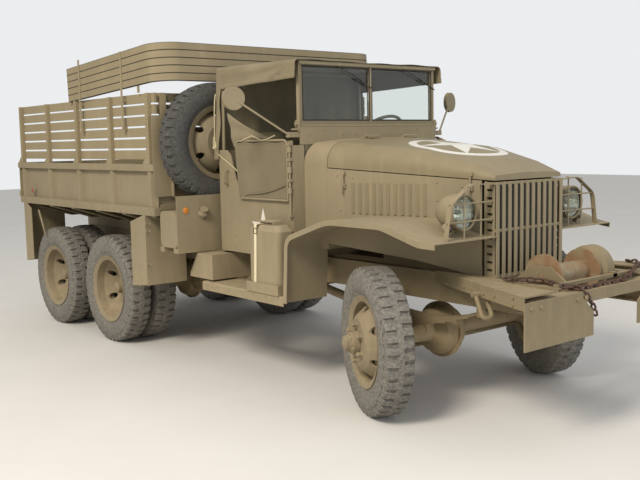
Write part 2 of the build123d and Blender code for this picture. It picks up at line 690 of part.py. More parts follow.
def hood_face(share, crown, drop, shoulder, inset):
    """Cross-section of the hood at a share of its length, shrunk by its sheet thickness."""
    x = hood_rear + share * (guard_x - hood_rear)
    half = hood_rear_half_width - share * (hood_rear_half_width - hood_front_half_width) - inset
    seam = seam_rear - share * (seam_rear - seam_front)
    top = crown - inset
    edge = top - drop
    corner = shoulder * (1 - sqrt(0.5))
    edges = []
    for side in (-1, 1):
        foot, bend = (side * half, seam), (side * half, edge - shoulder)
        knee = (side * (half - corner), edge - corner)
        brow = (side * (half - shoulder), edge)
        edges += [Line(foot, bend), ThreePointArc(bend, knee, brow)]
    edges += [ThreePointArc((shoulder - half, edge), (0, top), (half - shoulder, edge)),
              Line((half, seam), (-half, seam))]
    return Plane(origin=(x, 0, 0), x_dir=(0, 1, 0), z_dir=(1, 0, 0)) * make_face(edges)


hood_sheet = 8
hood = loft([hood_face(*row, 0) for row in hood_sections], ruled=True)
inside = loft([hood_face(*row, hood_sheet) for row in hood_sections], ruled=True)
hood_shell = hood - inside + extrude(hood_face(*hood_sections[-1], 0), -hood_sheet)
hood_hinge_x = hood_rear - clearance / 2
hood_hinge_z = crown_rear + 9
hinge_pin = 5
hood_hinge_y = 190
hood_hinge_width = 90


def hood_eye(y0, y1, toward):
    """Hinge leaf rolled round the hood's pin; it reaches forward or rearward from the pin."""
    leaf = block(hood_hinge_x, hood_hinge_x + toward * 46, y0, y1, crown_rear - 4, hood_hinge_z - 2)
    roll = rod((hood_hinge_x, y0, hood_hinge_z), (hood_hinge_x, y1, hood_hinge_z), hinge_pin + 4)
    return leaf + roll


for side in (-1, 1):
    y = side * hood_hinge_y
    hood_shell += hood_eye(y - hood_hinge_width / 2, y + hood_hinge_width / 2, 1)
for side in (-1, 1):
    y = side * hood_hinge_y
    hood_shell -= rod((hood_hinge_x, y - hood_hinge_width, hood_hinge_z),
                      (hood_hinge_x, y + hood_hinge_width, hood_hinge_z), hinge_pin + running_gap)
save("hood", hood_shell)

# Cowl between hood and windshield, open inside, with its firewall and the hood's hinge pins
cowl_front = hood_rear - clearance
cowl_rear = windshield_x + 16
cowl_rear_half_width = 640
cowl_bottom = 960
cowl_sheet = 8


def cowl_face(x, half, inset):
    """Cross-section of the cowl, from its foot over the shoulders."""
    top = crown_rear - inset
    edge = top - 22
    shoulder = 150
    half -= inset
    corner = shoulder * (1 - sqrt(0.5))
    edges = []
    for side in (-1, 1):
        foot, bend = (side * half, cowl_bottom), (side * half, edge - shoulder)
        knee = (side * (half - corner), edge - corner)
        brow = (side * (half - shoulder), edge)
        edges += [Line(foot, bend), ThreePointArc(bend, knee, brow)]
    edges += [ThreePointArc((shoulder - half, edge), (0, top), (half - shoulder, edge)),
              Line((half, cowl_bottom), (-half, cowl_bottom))]
    return Plane(origin=(x, 0, 0), x_dir=(0, 1, 0), z_dir=(1, 0, 0)) * make_face(edges)


cowl_front_half = hood_rear_half_width
cowl_ends = ((cowl_rear, cowl_rear_half_width), (cowl_front, cowl_front_half))
cowl = loft([cowl_face(x, half, 0) for x, half in cowl_ends], ruled=True)
cowl -= loft([cowl_face(x, half, cowl_sheet) for x, half in cowl_ends], ruled=True)
cowl += extrude(cowl_face(cowl_front, cowl_front_half, 0), -cowl_sheet)
band = block(windshield_x, cowl_rear, -windshield_half_width, windshield_half_width, crown_rear - 40,
             windshield_bottom)
for side in (-1, 1):
    y = side * hood_hinge_y
    for end in (-1, 1):
        near = y + end * (hood_hinge_width / 2 + 1)
        far = near + end * 16
        cowl += hood_eye(min(near, far), max(near, far), -1)
    reach = hood_hinge_width / 2 + 16
    cowl += rod((hood_hinge_x, y - reach, hood_hinge_z), (hood_hinge_x, y + reach, hood_hinge_z), hinge_pin)
panel_bottom = 1560
gauge_panel = block(windshield_x - 40, windshield_x, -620, 620, panel_bottom, crown_rear - 20)
save("cowl", cowl + band + gauge_panel)

# Louvred side panels between hood and fenders
panel_run = Vector(guard_x - hood_rear, hood_rear_half_width - hood_front_half_width, 0)
panel_plane = Plane(origin=(hood_rear, -hood_rear_half_width, 0), x_dir=panel_run,
                    z_dir=panel_run.cross(Vector(0, 0, 1)))
panel_foot = 1150
panel_sheet = 8
panel_lead = hood_rear - cowl_front - panel_sheet * panel_run.Y / panel_run.length
panel_start = -panel_lead * panel_run.length / panel_run.X
panel_length = panel_run.length - 86
panel_drop = (seam_rear - seam_front) * panel_length / panel_run.length
panel = extrude(panel_plane * make_face(Polyline(
    (panel_start, panel_foot), (panel_length, panel_foot), (panel_length, seam_rear - panel_drop - clearance),
    (panel_start, seam_rear - clearance), close=True)), -panel_sheet)
louvre_first = 190
louvre_pitch = 55
louvre_count = 11
louvre_width = 30
louvre_bottom = 1214
louvre_top = 1414
for number in range(louvre_count):
    along = louvre_first + number * louvre_pitch
    scoop = Plane(origin=panel_plane.from_local_coords((along, louvre_bottom, 0)), x_dir=panel_run,
                  z_dir=(0, 0, 1)) * make_face(Polyline((0, 1), (louvre_width, 1), (louvre_width, -2),
                                                        (louvre_width * 0.7, -12), close=True))
    panel += extrude(scoop, louvre_top - louvre_bottom)

# Front fenders: one bent sheet, cut to its plan, with a rolled outer lip and the splash panels
fender_path = [(running_board_front + fender_sheet, running_board_z - 40), (-752, 1060), (-330, fender_top),
               (150, fender_top), (430, 1112), (530, fender_tip_z)]
fender_bends = [105, 500, 320, 160]


def panel_y(x):
    """Y of the right-hand hood panel's outer face at x."""
    return -hood_rear_half_width + (x - hood_rear) * panel_run.Y / panel_run.X


tip_y = -870
plan = [(running_board_front - 40, -fender_half_width), (60, -fender_half_width), (430, -890), (530, tip_y + 10),
        (530, -guard_half_width - 1), (hood_rear, -hood_rear_half_width - 1),
        (running_board_front - 40, -cowl_rear_half_width)]
strip = side_plate(sheet(fender_path, fender_sheet, fender_bends), -fender_half_width, -300)
fender = strip & flat_plate(plan, 600, 1400)
lip_strip = side_plate(sheet(fender_path, -28, fender_bends), -fender_half_width, -300)
lip_zone = flat_plate(trace(Polyline(*plan[:4]), 12), 600, 1400) & flat_plate(plan, 600, 1400)
fender += lip_strip & lip_zone
fender += strip & block(running_board_front - 40, hood_rear, -cowl_rear_half_width - 2, -554, 600, cowl_bottom)
save("front_fenders", *both(fender))
apron = extrude(panel_plane * make_face(Polyline((panel_start, 1000), (700, 930), (panel_length, guard_bottom),
                                                 (panel_length, panel_foot), (panel_start, panel_foot),
                                                 close=True)), -panel_sheet)
save("hood_sides", *both(panel + apron))

# Headlamps on the fenders, a marker lamp beside each
lamp_y = 530
lamp_z = 1262
lamp_front = 452
lamp_radius = 106


def lamp_outline(length, radius):
    """Bulging lamp bucket turned about the X axis, its mouth forward at x=0."""
    edges = [Line((0, 0), (0, radius)), Line((0, radius), (-18, radius)),
             ThreePointArc((-18, radius), (-length * 0.62, radius * 0.8), (-length, 0)), Line((-length, 0), (0, 0))]
    return revolve(Plane.XY * make_face(edges), Axis.X)


lamps = []
for y, z, front, radius, length in ((lamp_y, lamp_z, lamp_front, lamp_radius, 215), (640, 1176, 436, 30, 55)):
    bucket = Pos(front, -y, z) * lamp_outline(length, radius)
    bucket -= Pos(front + 1, -y, z) * lamp_outline(length - 14, radius - 6)
    bucket += Pos(front - length * 0.45, -y, 0) * block(-16, 16, -14, 14, 1100, z - radius * 0.78) - fender
    lamps.append(bucket)
save("headlamps", *[piece for lamp in lamps for piece in both(lamp)])
lens_rim = lamp_radius - 7
lens = revolve(Plane.XY * make_face(Polyline((-4, 0), (-4, lens_rim), (2, lens_rim * 0.94), (8, lens_rim * 0.6),
                                             (11, 0), close=True)), Axis.X)
lenses = both(Pos(lamp_front, -lamp_y, lamp_z) * lens)

# Radiator, engine, gearbox and drive line
radiator = block(400, 470, -285, 285, 880, 1400) + block(386, 400, -240, 240, 930, 1350)
radiator += block(400, 470, -285, 285, rail_top - rail_sheet - 14, 880)
engine = block(-560, 340, -215, 215, 700, 1330)
engine += block(220, 280, rail_sheet - rail_outer, rail_outer - rail_sheet, 790, 840)
transfer_z = 640
transfer_rear = -1780
transfer_front = -1450
shaft_radius = 32
flange_radius = 56
flange_depth = 24
gearbox = block(-1150, -560, -165, 165, 650, 862)
transfer_case = block(transfer_rear, transfer_front, -330, 110, 560, 744)
save("power_unit", radiator, engine + gearbox, transfer_case)
# Front end X and Z, rear end X and Z, Y of each shaft
shaft_runs = ((-pinion_reach, tyre_radius, transfer_front, transfer_z, -diff_offset),
              (transfer_rear, transfer_z, middle_axle_x + pinion_reach, tyre_radius, -diff_offset),
              (-1150, 700, transfer_front, transfer_z, 0))
shafts = []
for front_x, front_z, rear_x, rear_z, y in shaft_runs:
    shaft = rod((front_x, y, front_z), (front_x - flange_depth, y, front_z), flange_radius)
    shaft += rod((rear_x, y, rear_z), (rear_x + flange_depth, y, rear_z), flange_radius)
    shaft += rod((front_x - flange_depth / 2, y, front_z), (rear_x + flange_depth / 2, y, rear_z), shaft_radius)
    shafts.append(shaft)
save("drive_shafts", *shafts)

# Cab: floor, doorless sides with cut-outs, rounded rear wall
cab_sheet = 8
corner_x = cab_rear + 80
cab_side = side_plate([(corner_x, cab_bottom), (cowl_rear, cab_bottom), (cowl_rear, 1700), (-944, 1700),
                       (-950, 1400), (-1010, door_sill), (-1490, door_sill), (-1575, 1420), (-1640, 1600),
                       (-1690, cab_rear_top), (corner_x, cab_rear_top)], -cab_half_width, cab_sheet - cab_half_width)
cab_side += block(cowl_rear - cab_sheet, cowl_rear, -cab_half_width, -cowl_rear_half_width, cab_bottom,
                  crown_rear - 44)
cab = cab_side + mirrored(cab_side)
wall_path = [(corner_x, -cab_half_width), (cab_rear, -cab_half_width), (cab_rear, cab_half_width),
             (corner_x, cab_half_width)]
cab += flat_plate(sheet(wall_path, -cab_sheet, 55), cab_bottom, cab_rear_top)
inner_cab = cab_half_width - cab_sheet
floor_rear = cab_rear + cab_sheet
floor_half = 545            # half width of the floor inside the cowl
cab_floor_sheet = 6
floor_front = cowl_rear - cab_sheet
cab_base = flat_plate([(floor_rear, 60 - inner_cab), (floor_rear + 60, -inner_cab), (floor_front, -inner_cab),
                       (floor_front, -floor_half), (cowl_front - cab_sheet, -floor_half),
                       (cowl_front - cab_sheet, floor_half), (floor_front, floor_half), (floor_front, inner_cab),
                       (floor_rear + 60, inner_cab), (floor_rear, inner_cab - 60)],
                      cab_floor - cab_floor_sheet, cab_floor)
for x in (-1750, -1000):
    cab_base += block(x - 40, x + 40, -rail_outer, rail_outer, rail_top, cab_floor - cab_floor_sheet)

# Windshield: outer frame, two panes with a divider
bar = 34
screen_depth = 28
screen_x0, screen_x1 = windshield_x - screen_depth, windshield_x
screen = block(screen_x0, screen_x1, -windshield_half_width, windshield_half_width, windshield_bottom,
               windshield_top)
for side in (-1, 1):
    y0, y1 = sorted((side * 12, side * (windshield_half_width - bar)))
    screen -= block(screen_x0 - 1, screen_x1 + 1, y0, y1, windshield_bottom + 46, windshield_top - bar)
save("windshield_frame", screen)
panes = []
for side in (-1, 1):
    y0, y1 = sorted((side * 12.5, side * (windshield_half_width - bar - 0.5)))
    panes.append(block(windshield_x - 17, windshield_x - 11, y0, y1, windshield_bottom + 46.5,
                       windshield_top - bar - 0.5))
save("glass", *panes, *lenses)

# Canvas top with short side flaps and a rear curtain, over a hoop behind the seats
canvas_half = cab_half_width + 10
canvas_top_half = 718
canvas_front = windshield_x + 26
canvas_rear = cab_rear - 8
canvas_bottom = 1560
canvas_corner = 48
canvas_front_top = windshield_top + 1
curtain_front = -1790


def canvas_ring(z, half, inset):
    """Plan of the canvas at one height, its rear corners rounded."""
    front = canvas_front + inset
    path = [(front, inset - half), (canvas_rear + inset, inset - half), (canvas_rear + inset, half - inset),
            (front, half - inset)]
    return Pos(0, 0, z) * make_face([*FilletPolyline(*path, radius=canvas_corner - inset).edges(),
                                     Line(path[-1], path[0])])


def canvas_form(inset):
    """Closed form of the canvas top, shrunk on every side but its open front and bottom."""
    crown = canvas_thickness - inset
    rings = [canvas_ring(canvas_bottom, canvas_half, inset),
             canvas_ring(canvas_rear_top + canvas_thickness, canvas_top_half, inset)]
    profile = side_plate([(canvas_rear - 10, canvas_bottom - 1), (canvas_front + 10, canvas_bottom - 1),
                          (canvas_front + 10, canvas_front_top + crown),
                          (canvas_rear - 10, canvas_rear_top + crown)], -canvas_half - 10, canvas_half + 10)
    return loft(rings, ruled=True) & profile


below_flap = side_plate([(curtain_front, canvas_bottom - 10), (curtain_front, 2092), (canvas_front + 20, 2120),
                         (canvas_front + 20, canvas_bottom - 10)], -canvas_half - 20, canvas_half + 20)
save("canvas_top", canvas_form(0) - canvas_form(canvas_thickness) - below_flap)
hoop = bent_rod([(-1800, -700, 1500), (-1800, -690, 2236), (-1800, 690, 2236), (-1800, 700, 1500)], 13, 70)
for side in (-1, 1):
    y0, y1 = sorted((side * 699, side * (cab_half_width - cab_sheet)))
    for z in (1520, 1610):
        hoop += block(-1810, -1790, y0, y1, z - 12, z + 12)

# Half doors: a rod frame on an upright hinge rod, with canvas inside the frame
door_y = -cab_half_width - 18
door_rod = 8
hinge_rod_x = windshield_x + 8
hinge_rod_z = (1172, 1690)
door_edges = (hinge_rod_x - 26, -1545)      # front and rear frame rods
door_top = 1704
door_foot = 1290
frame_path = [(door_edges[0], door_y, door_foot), (door_edges[0], door_y, door_top),
              (door_edges[1], door_y, door_top), (door_edges[1] + 45, door_y, door_foot)]
door_frame = bent_rod(frame_path, door_rod, 40) + rod(frame_path[0], frame_path[-1], door_rod)
hinge_heights = (1360, 1500, 1640)
for z in hinge_heights:
    door_frame += Pos(hinge_rod_x, door_y, z) * Cylinder(15, 40)
    door_frame += block(hinge_rod_x, door_edges[0], door_y - 5, door_y + 5, z - 12, z + 12)
for z in hinge_heights:
    door_frame -= Pos(hinge_rod_x, door_y, z) * Cylinder(door_rod + running_gap, 44)
rod_bracket = rod((hinge_rod_x, door_y, hinge_rod_z[0]), (hinge_rod_x, door_y, hinge_rod_z[1]), door_rod)
for z in (1190, 1430, 1572, 1676):
    rod_bracket += block(hinge_rod_x - 12, hinge_rod_x + 12, door_y - 12, -cab_half_width, z - 10, z + 10)
save("cab_shell", cab + rod_bracket + mirrored(rod_bracket) + hoop)
inset = door_rod + 1
cloth = side_plate([(door_edges[0] - inset, door_foot + inset), (door_edges[0] - inset, door_top - inset - 30),
                    (door_edges[0] - 40, door_top - inset), (door_edges[1] + 42, door_top - inset),
                    (door_edges[1] + 14, door_top - 45), (door_edges[1] + 54, door_foot + inset)],
                   door_y - 3, door_y + 3)
for name, side in sides:
    save(f"{name}_door_frame", door_frame if side < 0 else mirrored(door_frame))
    save(f"{name}_door_canvas", cloth if side < 0 else mirrored(cloth))

# Seats, steering column and wheel, levers
seat_y = 370
seat_half = 235
seat_front = -1300
seat_rear = -1740
seat_z = 1290
seat_boxes = [block(seat_rear, seat_front, y - seat_half, y + seat_half, cab_floor, seat_z) -
              block(seat_rear + 8, seat_front - 8, y - seat_half + 8, y + seat_half - 8, cab_floor - 1, seat_z - 8)
              for y in (-seat_y, seat_y)]
save("cab_floor", cab_base + seat_boxes[0] + seat_boxes[1])
cushions = [block(seat_rear + 10, seat_front + 20, y - seat_half, y + seat_half, seat_z + fit_gap, seat_z + 90)
            for y in (-seat_y, seat_y)]
back_face = [(seat_rear + 90, seat_z + 100), (seat_rear - 10, seat_z + 100), (seat_rear - 70, seat_z + 500),
             (seat_rear + 10, seat_z + 500)]
backs = [side_plate(back_face, y - seat_half, y + seat_half) for y in (-seat_y, seat_y)]
save("seat_cushions", *cushions, *backs)
wheel_centre = Vector(-1240, seat_y, 1730)
column_lean = Vector(0.664, 0, -0.748).normalized()
steer_radius = 216
rim_rod = 12
column_plane = Plane(origin=wheel_centre, x_dir=(0, 1, 0), z_dir=-column_lean)
column_length = 776
column_end = wheel_centre + column_lean * column_length
column = rod(wheel_centre + column_lean * 50, column_end, 24)
column += rod(wheel_centre - column_lean * 8, column_end, 11)
column += block(windshield_x - 36, windshield_x - 12, seat_y - 20, seat_y + 20, 1390, panel_bottom)
save("steering_column", column)
grip = column_plane * Torus(steer_radius, rim_rod)
for turn in range(3):
    angle = radians(120 * turn + 90)
    tip = column_plane.from_local_coords((steer_radius * cos(angle), steer_radius * sin(angle), 0))
    grip += rod(wheel_centre + column_lean * 12, tip, 7)
grip += rod(wheel_centre - column_lean * 22, wheel_centre + column_lean * 40, 32)
grip -= rod(wheel_centre - column_lean * 10, wheel_centre + column_lean * 60, 11 + running_gap)
save("steering_wheel", grip)

# Mirrors on long arms
arm_foot = Vector(-925, -cab_half_width, 1740)
mirror_centre = Vector(-1104, -1067, 1989)
mirror_arm = rod(arm_foot, mirror_centre, 7)
mirror_arm += block(-945, -905, -cab_half_width - 8, -windshield_half_width, 1722, 1758)
face_dir = Vector(-1, 0.25, 0).normalized()
mirror_arm += rod(mirror_centre - face_dir * 12, mirror_centre + face_dir * 12, 78)
save("mirrors", *both(mirror_arm))

# Running boards on brackets, tool box, and a fuel can in its carrier on the right-hand board
board_inner = -660
board = sheet([(board_inner, running_board_z), (-fender_half_width, running_board_z),
               (-fender_half_width, running_board_z - running_board_depth)], 5, 12)
running_board = cross_plate(board, running_board_rear, running_board_front)
for x in (-1000, -1600):
    running_board += cross_plate([(-880, running_board_z), (board_inner, running_board_z), (-rail_outer, 820),
                                  (-rail_outer, 700), (-660, 610), (-880, 640)], x - 4, x + 4)
can_length = 345
can_depth = 163
can_corner = 45
can_height = 466
can_taper = 40              # height of the sloping shoulders
tray_floor = 4
can_base = Pos(-1017.5, -843.5, running_board_z + tray_floor)
can = can_base * extrude(RectangleRounded(can_length, can_depth, can_corner), can_height - can_taper)
can += can_base * loft([Pos(0, 0, can_height - can_taper) * RectangleRounded(can_length, can_depth, can_corner),
                        Pos(0, 0, can_height) * RectangleRounded(can_length - 60, can_depth - 53, 40)], ruled=True)
# Three parallel carrying handles on two feet
handle_half = 75
handle_spacing = 31
for row in (-1, 0, 1):
    y = row * handle_spacing
    can += can_base * rod((-handle_half, y, can_height + 22), (handle_half, y, can_height + 22), 7)
for x in (-handle_half, handle_half):
    can += can_base * block(x - 6, x + 6, -38, 38, can_height - 6, can_height + 22)
save("fuel_can", can)
tray = extrude(Rectangle(can_length + 24, can_depth + 24), 70)
tray -= Pos(0, 0, tray_floor) * extrude(Rectangle(can_length + 8, can_depth + 8), 80)
tray = Pos(can_base.position - Vector(0, 0, tray_floor)) * tray
save("running_boards", running_board + tray, mirrored(running_board))
tools = side_plate([(-2010, 700), (-1900, 862), (-1690, 862), (-1690, 672), (-2010, 672)], -905, -560)
tools += block(-1900, -1820, -560, -rail_outer, 740, 800)
save("tool_box", tools)

# Fuel tank across the frame behind the cab, with its shield plate, and the spare wheel's carrier
tank_x = (-2140, -1894)
tank_z = (908, 1186)
tank_y = (-1080, 560)
plate_top = 1302
tank = block(*tank_x, *tank_y, *tank_z)
tank = fillet(tank.edges().filter_by(Axis.Y), 45)
filler_y = -850
neck = ((tank_x[1] - 30, filler_y, 1120), (tank_x[1] + 30, filler_y, 1200))
save("fuel_tank", tank + rod(*neck, 32))
beams = block(-2152, -2092, tank_y[0], tank_y[1], rail_top, tank_z[0])
beams += block(-1950, -1890, tank_y[0], tank_y[1], rail_top, tank_z[0])
beams += block(tank_x[1], tank_x[1] + 6, tank_y[0], tank_y[1], rail_top, plate_top)
beams += block(tank_x[1] - 12, tank_x[1] + 6, tank_y[0], tank_y[1], plate_top - 6, plate_top)
spare_x = -2012
spare_y = -640
spare_z = 1700
post = block(-2152, -2142, spare_y - 70, spare_y + 70, rail_top, spare_z + 90)
post += block(-2152, -2142, spare_y - 70, 70 - rail_outer, rail_top, rail_top + 60)
spare_seat = spare_x + wheel_dish - rim_sheet       # back of the spare wheel's disc
post += rod((-2142, spare_y, spare_z), (spare_seat, spare_y, spare_z), 62)
post += rod((spare_seat - 12, spare_y, spare_z), (spare_seat, spare_y, spare_z), 118)
beams += post
spare_hub = rod((spare_seat, spare_y, spare_z), (spare_seat + rim_sheet + 16, spare_y, spare_z), hub_radius)
beams -= rod(*neck, 34)
save("spare_carrier", beams + spare_hub)


def facing_front(shape):
    """Stand a wheel drawn about the Y axis upright behind the cab, with its dish forward."""
    return Pos(spare_x, spare_y, spare_z) * Rot(0, 0, -90) * shape


save("spare_tyre", facing_front(tyre(0)))
save("spare_wheel", facing_front(disc_wheel(0, 1)))

# Mudguards before and behind the bogie, the bed-front fairings, and bars that hold the bows
guard_sheet = 6
guard_outer = -body_half_width
front_guard_x = bearer_x[-1] - bearer_width / 2
rear_guard_x = bearer_x[0] - bearer_width / 2
front_guard = block(front_guard_x - guard_sheet, front_guard_x, guard_outer, -760, 585, body_bottom)
front_guard += side_plate([(front_guard_x, 590), (front_guard_x, body_bottom), (front_guard_x - 30, body_bottom),
                           (-2560, 1080), (-2560, 560)], guard_outer, guard_outer + guard_sheet)
rear_guard = block(rear_guard_x - guard_sheet, rear_guard_x, guard_outer, -700, 560, body_bottom)
rear_guard += side_plate([(rear_guard_x - guard_sheet, 560), (rear_guard_x - guard_sheet, body_bottom),
                          (rear_guard_x + 70, body_bottom), (-4640, 1090), (-4640, 590)],
                         guard_outer, guard_outer + guard_sheet)
save("mudguards", *both(front_guard), *both(rear_guard))
fairing = block(body_front, body_front + 5, -body_half_width + 4, -960, 1290, 1914)
fairing += block(body_front, body_front + 38, -962, -956, 1290, 1914)
walls += fairing + mirrored(fairing)
save("cargo_walls", walls)
holder_outer = -post_outer - 4
for x in (-3400, -2620):
    holder = block(x - 14, x + 14, holder_outer, -post_outer, body_side_top + 260, 2430)
    holder += block(x - 14, x + 14, -post_outer, -slat_outer, body_side_top + 270, body_side_top + 300)
    holder += block(x - 14, x + 14, -post_outer, -slat_outer, rack_top - 50, rack_top - 20)
    racks += holder + mirrored(holder)
save("racks", racks)

# Pintle hook
hook_z = 775
hook = block(frame_rear - 8, frame_rear, -95, 95, hook_z - 75, hook_z + 75)
hook += rod((frame_rear, 0, hook_z), (frame_rear - 60, 0, hook_z), 38)
jaw_plane = Pos(frame_rear - 60, 0, 0)
jaw = side_plate([(0, hook_z - 45), (0, hook_z + 40), (-30, hook_z + 48), (-30, hook_z - 12), (-38, hook_z - 20),
                  (-46, hook_z - 12), (-46, hook_z + 30), (-62, hook_z + 30), (-62, hook_z - 28),
                  (-40, hook_z - 52)], -24, 24)
save("pintle_hook", hook + jaw_plane * jaw)
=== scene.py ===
# %% [markdown]
# An open-cab army cargo truck, dressed for its portrait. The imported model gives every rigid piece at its
# real size. This script gives each one its finish, adds the rubber, canvas, rope and small fittings that
# a solid model leaves out, and sets the camera where the photographer stood.

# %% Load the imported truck
import bmesh
import bpy
import numpy as np
from mathutils import Matrix, Vector


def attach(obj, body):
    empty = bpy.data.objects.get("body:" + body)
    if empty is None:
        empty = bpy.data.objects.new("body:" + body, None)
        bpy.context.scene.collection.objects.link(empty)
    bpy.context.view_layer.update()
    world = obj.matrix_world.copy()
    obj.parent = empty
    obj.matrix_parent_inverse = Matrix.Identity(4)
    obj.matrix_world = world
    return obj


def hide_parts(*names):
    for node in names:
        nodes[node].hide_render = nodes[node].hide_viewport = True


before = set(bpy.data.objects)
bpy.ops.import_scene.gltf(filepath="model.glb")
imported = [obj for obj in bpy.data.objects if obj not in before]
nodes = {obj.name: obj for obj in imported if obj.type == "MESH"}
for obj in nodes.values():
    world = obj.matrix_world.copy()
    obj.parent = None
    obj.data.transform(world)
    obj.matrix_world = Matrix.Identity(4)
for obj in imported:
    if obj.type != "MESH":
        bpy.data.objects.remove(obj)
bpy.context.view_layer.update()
print("loaded", len(nodes), "nodes")

# %% [markdown]
# Sizes are easier to read in millimetres from the front axle, which is how the truck was measured.
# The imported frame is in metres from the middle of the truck, so one function moves between them.

# %% Millimetres from the front axle to metres in the truck's frame
FRONT_AXLE_X = 1917.5


def place(points):
    """Metres in the truck's frame = (millimetres from the front axle + (1917.5, 0, 0)) / 1000."""
    return (np.asarray(points, float) + [FRONT_AXLE_X, 0, 0]) / 1000


print("front axle at", place([0, 0, 0]), "m")

# %% [markdown]
# The camera stands ahead of the truck's right front corner, at a standing person's eye height, and looks
# slightly down. Yaw turns its view from the truck's +X towards +Y, pitch tips it down and roll leans it.
# Lens and pose together put the wheels, bumper and racks where the photograph has them.

# %% Camera
CAMERA_MM = (3884.85, -4423.66, 1689.09)
CAMERA_YAW, CAMERA_PITCH, CAMERA_ROLL = 140.70, -6.36, -1.13
FOCAL_PIXELS, PICTURE_WIDTH, SENSOR_MM = 882.34, 640, 36.0


def aim_camera():
    """View direction = (cos p cos y, cos p sin y, sin p); right and up turn about it by the roll."""
    yaw, pitch, roll = np.radians((CAMERA_YAW, CAMERA_PITCH, CAMERA_ROLL))
    view = np.array([np.cos(pitch) * np.cos(yaw), np.cos(pitch) * np.sin(yaw), np.sin(pitch)])
    level = np.cross(view, [0, 0, 1])
    level /= np.linalg.norm(level)
    rise = np.cross(level, view)
    right = level * np.cos(roll) + rise * np.sin(roll)
    up = rise * np.cos(roll) - level * np.sin(roll)
    camera = bpy.data.objects.new("camera", bpy.data.cameras.new("camera"))
    camera.data.sensor_width = SENSOR_MM
    camera.data.lens = FOCAL_PIXELS / PICTURE_WIDTH * SENSOR_MM
    turn = Matrix(np.column_stack([right, up, -view]).tolist()).to_4x4()
    camera.matrix_world = Matrix.Translation(place(CAMERA_MM)) @ turn
    bpy.context.collection.objects.link(camera)
    bpy.context.scene.camera = camera
    return camera


print("lens", round(aim_camera().data.lens, 2), "mm")

# %% [markdown]
# Light comes as it would in a large studio: a pale world all round, a broad warm lamp high on the right
# for the sunlit side, and a weak one ahead to open the shadows under the fenders.

# %% World, lamps and floor
scene = bpy.context.scene
scene.view_settings.view_transform = "Standard"
WORLD_LEVEL, BACKDROP_LEVEL = 0.74, 0.95


def linear(hex_colour):
    """sRGB hex to linear: c / 12.92 up to 0.04045, and ((c + 0.055) / 1.055) ** 2.4 above."""
    c = np.array([int(hex_colour[i:i + 2], 16) / 255 for i in (1, 3, 5)])
    low, high = c / 12.92, ((c + 0.055) / 1.055) ** 2.4
    return (*np.where(c <= 0.04045, low, high).tolist(), 1.0)


def add(tree, kind, inputs=None, **settings):
    """Add one node. An input is a number, a colour, or another node's output to link from."""
    node = tree.nodes.new(kind)
    for name, value in settings.items():
        setattr(node, name, value)
    for key, value in (inputs or {}).items():
        if isinstance(value, bpy.types.NodeSocket):
            tree.links.new(value, node.inputs[key])
        else:
            node.inputs[key].default_value = value
    return node


def light_world():
    """Pale world: BACKDROP_LEVEL where the camera looks, also through glass, WORLD_LEVEL elsewhere."""
    world = bpy.data.worlds.new("studio")
    world.use_nodes = True
    tree = world.node_tree
    tree.nodes.clear()
    path = add(tree, "ShaderNodeLightPath")
    direct, through = path.outputs["Is Camera Ray"], path.outputs["Is Transmission Ray"]
    sees = add(tree, "ShaderNodeMath", {0: direct, 1: through}, operation="MAXIMUM")
    level = add(tree, "ShaderNodeMapRange", {"Value": sees.outputs[0], "To Min": WORLD_LEVEL,
                                              "To Max": BACKDROP_LEVEL})
    glow = add(tree, "ShaderNodeBackground", {"Color": linear("#F1F3F5"), "Strength": level.outputs[0]})
    add(tree, "ShaderNodeOutputWorld", {"Surface": glow.outputs[0]})
    scene.world = world


def lamp(name, spot_mm, aim_mm, size, power, colour):
    """Area lamp at spot_mm that faces aim_mm."""
    light = bpy.data.objects.new(name, bpy.data.lights.new(name, "AREA"))
    light.data.size = size
    light.data.energy = power
    light.data.color = linear(colour)[:3]
    spot, aim = Vector(place(spot_mm)), Vector(place(aim_mm))
    light.matrix_world = Matrix.Translation(spot) @ (aim - spot).to_track_quat("-Z", "Y").to_matrix().to_4x4()
    bpy.context.collection.objects.link(light)
    return light


light_world()
lamp("sun_side", (2500, -9500, 9000), (-1600, 0, 900), 3.5, 1380, "#FFF5E6")
lamp("front_fill", (8500, 1500, 3500), (-500, 0, 900), 6.0, 260, "#EAF1FF")


def make_floor():
    """Flat square floor, 60 m across, at the tyres' contact height."""
    half = 30.0
    mesh = bpy.data.meshes.new("floor")
    corners = [(-half, -half, 0), (half, -half, 0), (half, half, 0), (-half, half, 0)]
    mesh.from_pydata(corners, [], [(0, 1, 2, 3)])
    floor = bpy.data.objects.new("floor", mesh)
    bpy.context.collection.objects.link(floor)
    plaster = bpy.data.materials.new("pale_studio_floor")
    plaster.use_nodes = True
    tree = plaster.node_tree
    spot = add(tree, "ShaderNodeTexCoord")
    mottle = add(tree, "ShaderNodeTexNoise", {"Vector": spot.outputs["Object"], "Scale": 1.3, "Detail": 6.0})
    # A colour Mix node takes its share at input 0 and its colours at inputs 6 and 7, and gives output 2
    tone = add(tree, "ShaderNodeMix", {0: mottle.outputs[0], 6: linear("#CFCCC6"), 7: linear("#DAD7D1")},
               data_type="RGBA")
    face = tree.nodes["Principled BSDF"]
    tree.links.new(tone.outputs[2], face.inputs["Base Color"])
    face.inputs["Roughness"].default_value = 0.9
    mesh.materials.append(plaster)
    return floor


make_floor()
print("studio set up")

# %% [markdown]
# Army vehicles wear matt alkyd enamel: dull green-brown pigment in a flat binder. Years outdoors bleach it
# unevenly and cover it with pale road dust, thickest on what faces up and low down near the wheels. So the
# colour is two tones mixed by a wide noise, then dust mixed in by height, by how far a face looks up, and by
# a finer noise. Sheet metal is never flat, so a wide soft bump goes under the fine orange peel of the spray.

# %% Matt enamel on steel
MM = 0.001


